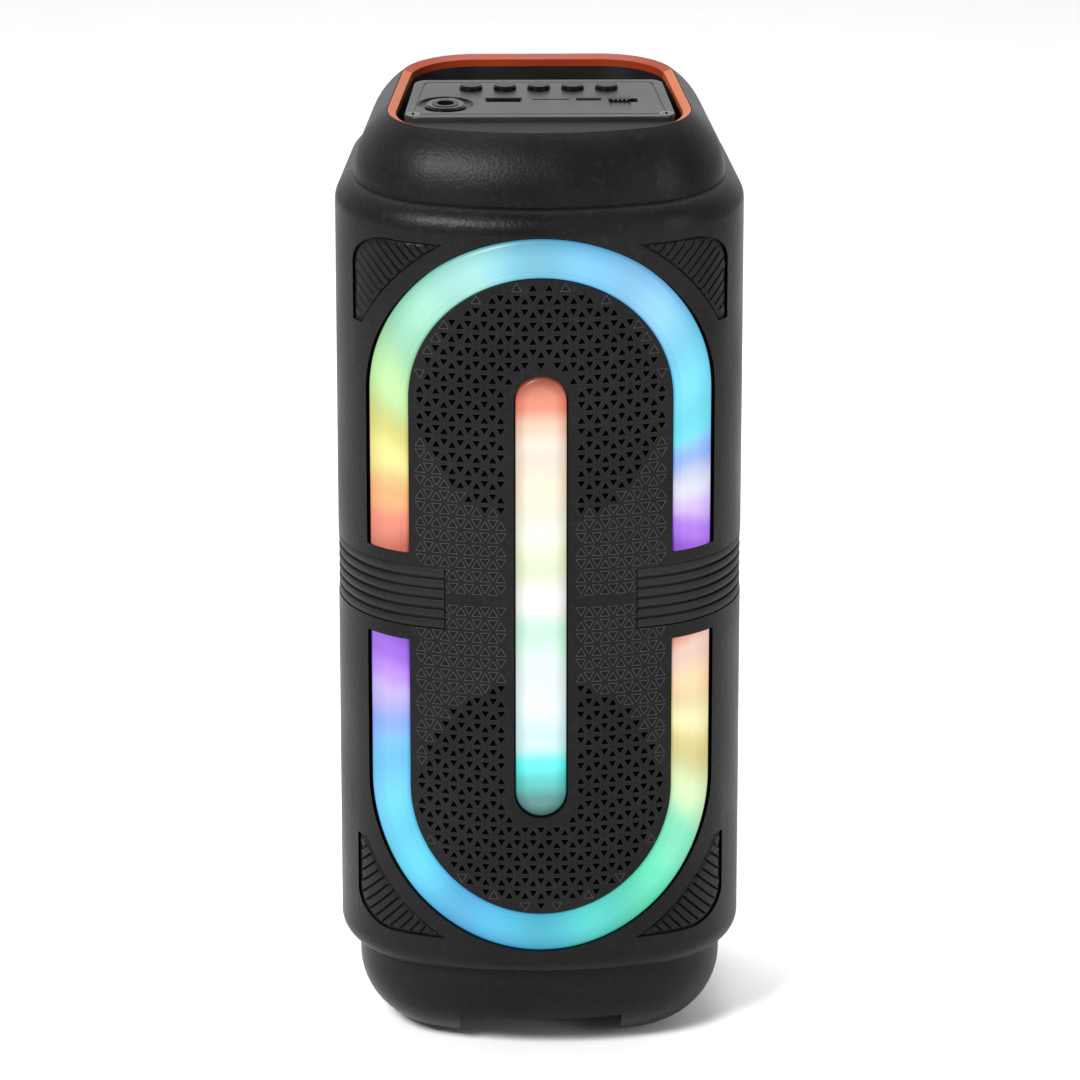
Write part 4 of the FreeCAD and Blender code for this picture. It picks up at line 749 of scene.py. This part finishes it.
def padPiece(name, sheet, mirrorX, mirrorZ, look):
    flat, depth, faces = sheet
    middle = ring["lowCentre"] + ring["highCentre"]
    spots = [(mirrorX * x * mm, (middle - z * mm) if mirrorZ else z * mm) for x, z in flat]
    top = [onFront(x, z, deep * mm) for (x, z), deep in zip(spots, depth)]
    under = [onFront(x, z, look["back"] * mm) for x, z in spots]
    count = len(flat)
    used = {pair for face in faces for pair in zip(face, face[1:] + face[:1])}
    rim = sorted((start, end) for start, end in used if (end, start) not in used)
    walls = [(end, start, start + count, end + count) for start, end in rim]
    bottom = [tuple(spot + count for spot in reversed(face)) for face in faces]
    return addMesh(name, top + under, faces + bottom + walls, smooth=30)


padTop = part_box("corner_pad_upper_right")[1].z / mm
sheet = padSheet(cornerPad, padTop)
pads = []
for name, node, mirrorX, mirrorZ in (
        ("padUpperRight", "corner_pad_upper_right", 1, False),
        ("padUpperLeft", "corner_pad_upper_left", -1, False),
        ("padLowerRight", "corner_pad_lower_right", 1, True),
        ("padLowerLeft", "corner_pad_lower_left", -1, True)):
    pad = padPiece(name, sheet, mirrorX, mirrorZ, cornerPad)
    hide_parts(node)
    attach(pad, "cabinet")
    pads.append(pad)
print("corner pads made")

# the jack's black dish in the control panel

nutLow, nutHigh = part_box("jack_nut")
jackDish = {
    "radius": 10.35, "hole": 7.7, "lift": 0.02, "thick": 0.25, "fillet": 0.5, "rim": 1.0, "edge": 0.3,
}
dishCentre = ((nutLow.x + nutHigh.x) / 2, (nutLow.y + nutHigh.y) / 2)


def dishProfile(look):
    # from the hole out along the underside, up the rim and back along the bowl
    hole, radius, edge = look["hole"], look["radius"], look["edge"]
    profile = [(hole, look["lift"]), (radius, look["lift"]), (radius, look["rim"]),
               (radius - edge, look["rim"]), (radius - 2 * edge, look["fillet"]), (hole, look["thick"])]
    return [(out * mm, nutLow.z + height * mm) for out, height in profile]


dish = lathe("jackDish", dishProfile(jackDish), dishCentre)
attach(dish, "cabinet")
print("jack dish made")

# finishes on every piece

blackShell = {
    "dark": (0.0036, 0.0036, 0.0038), "light": (0.0065, 0.0065, 0.0068), "rough": 0.4, "shine": 0.12,
    # the recess colour and the closed tone below are painted shade for the insides of the triangles
    "grain": 900.0, "bump": 0.6, "deep": 0.22 * mm, "recess": (0.0008, 0.0008, 0.0008),
    # the line colour is a painted highlight on the chamfers of the engraved outlines
    "line": (0.055, 0.054, 0.053), "edgeHighlightTone": 0.75, "blindShadeTone": 0.7, "sunk": 2.2,
    "forwards": -0.5,
}
charcoalShell = {
    "dark": (0.020, 0.020, 0.022), "light": (0.030, 0.030, 0.032), "rough": 0.48, "shine": 0.2,
    "grain": 900.0, "bump": 0.6, "deep": 0.22 * mm,
}
matteBlack = {
    "dark": (0.0035, 0.0035, 0.004), "light": (0.006, 0.006, 0.0065), "rough": 0.5, "shine": 0.12,
    "grain": 1800.0, "bump": 0.25,
}
rubber = {
    "dark": (0.006, 0.006, 0.0065), "light": (0.011, 0.011, 0.0115), "rough": 0.5, "shine": 0.16,
    "grain": 2600.0, "bump": 0.3, "deep": 0.06 * mm, "speckle": 0.35,
}
# the trim is one orange moulding: this darker, redder copy for the back bar is painted shade, and the copy
# below is the lit orange of the side bars
shadedOrangeTrim = {
    "dark": (0.17, 0.019, 0.004), "light": (0.22, 0.026, 0.006), "rough": 0.42, "shine": 0.2,
    "grain": 2400.0, "bump": 0.12, "speckle": 0.05,
}
orangeTrim = {
    "dark": (0.29, 0.068, 0.019), "light": (0.36, 0.088, 0.026), "rough": 0.42, "shine": 0.2,
    "grain": 2400.0, "bump": 0.12, "speckle": 0.05,
}
greyPanel = {
    "dark": (0.013, 0.013, 0.014), "light": (0.020, 0.020, 0.021), "rough": 0.36, "shine": 0.3,
    "grain": 2600.0, "bump": 0.25, "deep": 0.05 * mm, "speckle": 0.3,
}
glossBlack = {
    "dark": (0.0025, 0.0025, 0.003), "light": (0.005, 0.005, 0.0055), "rough": 0.26, "shine": 0.12,
    "grain": 3200.0, "bump": 0.08, "speckle": 0.1,
}
board = {
    "dark": (0.008, 0.07, 0.03), "light": (0.012, 0.12, 0.05), "rough": 0.35, "grain": 3000.0, "bump": 0.1,
}
lampWhite = {
    "dark": (0.7, 0.7, 0.62), "light": (0.85, 0.85, 0.78), "rough": 0.3, "grain": 3000.0, "bump": 0.05,
}
ferrite = {
    "dark": (0.04, 0.04, 0.042), "light": (0.07, 0.07, 0.072), "rough": 0.6, "grain": 1500.0, "bump": 0.3,
}
pulp = {
    "dark": (0.010, 0.010, 0.010), "light": (0.022, 0.021, 0.020), "rough": 0.75,
    "grain": 700.0, "bump": 0.5,
}
cloth = {
    "dark": (0.30, 0.20, 0.06), "light": (0.42, 0.30, 0.11), "rough": 0.8, "grain": 1300.0, "bump": 0.6,
}
cellWrap = {
    "dark": (0.05, 0.16, 0.32), "light": (0.07, 0.22, 0.42), "rough": 0.25, "grain": 2000.0, "bump": 0.05,
}
basketPaint = {
    "dark": (0.012, 0.012, 0.012), "light": (0.022, 0.022, 0.022), "rough": 0.4,
    "grain": 1600.0, "bump": 0.15,
}
zinc = {"dark": (0.32, 0.32, 0.33), "light": (0.5, 0.5, 0.5), "rough": 0.3, "lines": 900.0, "bump": 0.15}
darkScrew = {
    "dark": (0.10, 0.10, 0.11), "light": (0.2, 0.2, 0.21), "rough": 0.28, "lines": 1600.0, "bump": 0.1,
}
blackNickel = {
    "dark": (0.018, 0.018, 0.02), "light": (0.05, 0.05, 0.052), "rough": 0.2, "lines": 500.0, "bump": 0.02,
}
tin = {"dark": (0.02, 0.02, 0.021), "light": (0.05, 0.05, 0.052), "rough": 0.3, "lines": 1400.0, "bump": 0.1}
aluminium = {
    "dark": (0.5, 0.5, 0.52), "light": (0.68, 0.68, 0.7), "rough": 0.35, "lines": 700.0, "bump": 0.2,
}

dress(frontSurface("black front shell", blackShell), "shell_black", "front_shell")
dress(moulded("charcoal rear shell", charcoalShell), "shell_charcoal", "rear_shell")
dress(moulded("matte black moulding", matteBlack), "tray_black", "top_tray", "port_tube", "front_frame",
      "battery_holder")
dress(moulded("foot rubber", rubber), "foot_rubber", "foot_left", "foot_right")
dress(moulded("grip rubber", rubber), "grip_rubber", gripLeft, gripRight)
dress(moulded("ribbed pad black", dict(blackShell, rough=0.42, grain=1900.0)), "pad_black", *pads)
# painted shade: the back bar gets the darkened copy of the orange trim
dress(moulded("orange trim in painted shade", shadedOrangeTrim), "trim_red", "trim_back")
dress(moulded("orange trim", orangeTrim), "trim_orange", "trim_left", "trim_right")
dress(moulded("panel grey", greyPanel), "panel_grey", "control_panel")
dress(moulded("key black", glossBlack), "button_black", "button_1", "button_2", "button_3", "button_4",
      "button_5", "power_slider")
dress(moulded("jack black", glossBlack), "jack_black", "mic_jack", dish)
dress(metal("black nickel", blackNickel), "nut_chrome", "jack_nut")
dress(metal("socket tin", tin), "socket_metal", "usb_port", "usb_c_port", "card_socket")
dress(metal("dark screw steel", darkScrew), "screw_steel", "panel_screws", "shell_screws")
dress(metal("zinc plate", zinc), "screw_steel", "woofer_screws", "driver_yoke_upper",
      "driver_yoke_lower")
dress(moulded("circuit board", board), "board_green", "control_pcb", "amp_pcb", "ring_light_boards",
      "bar_light_board")
dress(moulded("switch moulding", matteBlack), "switch_black", "power_switch_body", "tact_switches")
dress(moulded("lamp resin", lampWhite), "lamp_white", "lamps")
dress(moulded("basket paint", basketPaint), "basket_steel", "driver_frame_upper", "driver_frame_lower")
dress(moulded("ferrite", ferrite), "magnet_grey", "driver_magnet_upper", "driver_magnet_lower")
dress(moulded("cone pulp", pulp), "cone_black", "driver_cone_upper", "driver_cone_lower")
dress(moulded("surround rubber", rubber), "surround_rubber", "driver_surround_upper",
      "driver_surround_lower")
dress(moulded("spider cloth", cloth), "spider_cloth", "driver_spider_upper", "driver_spider_lower")
dress(moulded("cell wrap", cellWrap), "cell_wrap", "battery_cells")
dress(metal("sink aluminium", aluminium), "sink_aluminium", "heat_sink")
dress(moulded("lead insulation", rubber), "lead_black", "speaker_leads", "supply_lead",
      "control_lead", "light_lead")
print("finishes made")

# room, lights and camera

cameraLook = {
    "target": (0.0005, 0.002, 0.1866), "distance": 2.6, "tilt": math.radians(20),
    "yaw": math.radians(-0.7), "lens": 225.33, "sensor": 36, "clip": (0.1, 50),
}


def addCamera(look):
    data = bpy.data.cameras.new("camera")
    data.lens = look["lens"]
    data.sensor_width = look["sensor"]
    data.clip_start, data.clip_end = look["clip"]
    camera = bpy.data.objects.new("camera", data)
    scene.collection.objects.link(camera)
    flat = math.cos(look["tilt"])
    away = Vector((math.sin(look["yaw"]) * flat, -math.cos(look["yaw"]) * flat, math.sin(look["tilt"])))
    camera.location = Vector(look["target"]) + away * look["distance"]
    camera.rotation_euler = (-away).to_track_quat("-Z", "Y").to_euler()
    scene.camera = camera


softboxes = {
    "key": {"place": (-0.75, -1.1, 1.25), "aim": (0, 0, 0.28), "size": (0.5, 0.5), "power": 42},
    "fill": {"place": (1.5, -1.2, 0.7), "aim": (0, 0, 0.2), "size": (0.5, 1.2), "power": 14},
    "top": {"place": (0, 0.5, 1.5), "aim": (0, 0, 0.3), "size": (0.9, 0.5), "power": 14},
}


def addSoftbox(name, look):
    data = bpy.data.lights.new(name, "AREA")
    data.shape = "RECTANGLE"
    data.size, data.size_y = look["size"]
    data.energy = look["power"]
    light = bpy.data.objects.new(name, data)
    scene.collection.objects.link(light)
    light.location = look["place"]
    towards = Vector(look["aim"]) - Vector(look["place"])
    light.rotation_euler = towards.to_track_quat("-Z", "Y").to_euler()


addCamera(cameraLook)
for name, look in softboxes.items():
    addSoftbox(name, look)

floorLook = {
    "half": 8.0, "dark": (0.95, 0.95, 0.95), "light": (0.97, 0.97, 0.97), "rough": 0.6,
    "grain": 60.0, "bump": 0.02, "speckle": 0.0,
}
half = floorLook["half"]
corners = [(-half, -half, 0), (half, -half, 0), (half, half, 0), (-half, half, 0)]
floorMesh = bpy.data.meshes.new("floor")
floorMesh.from_pydata(corners, [], [(0, 1, 2, 3)])
floor = bpy.data.objects.new("floor", floorMesh)
scene.collection.objects.link(floor)
floor.data.materials.append(moulded("pale floor", floorLook))

# a white backdrop behind the speaker and a darker room in front of it
roomLook = {"front": 0.12, "back": 1.2, "from": -0.3, "to": 0.6}
world = bpy.data.worlds.new("world")
scene.world = world
world.use_nodes = True
background = world.node_tree.nodes["Background"]
_, around = places(world.node_tree)
glow = fit(world.node_tree, around["Y"], roomLook["from"], roomLook["to"],
           roomLook["front"], roomLook["back"], True)
join(world.node_tree, glow, background.inputs["Strength"])
background.inputs["Color"].default_value = (1, 1, 1, 1)
print("room, lights and camera made")
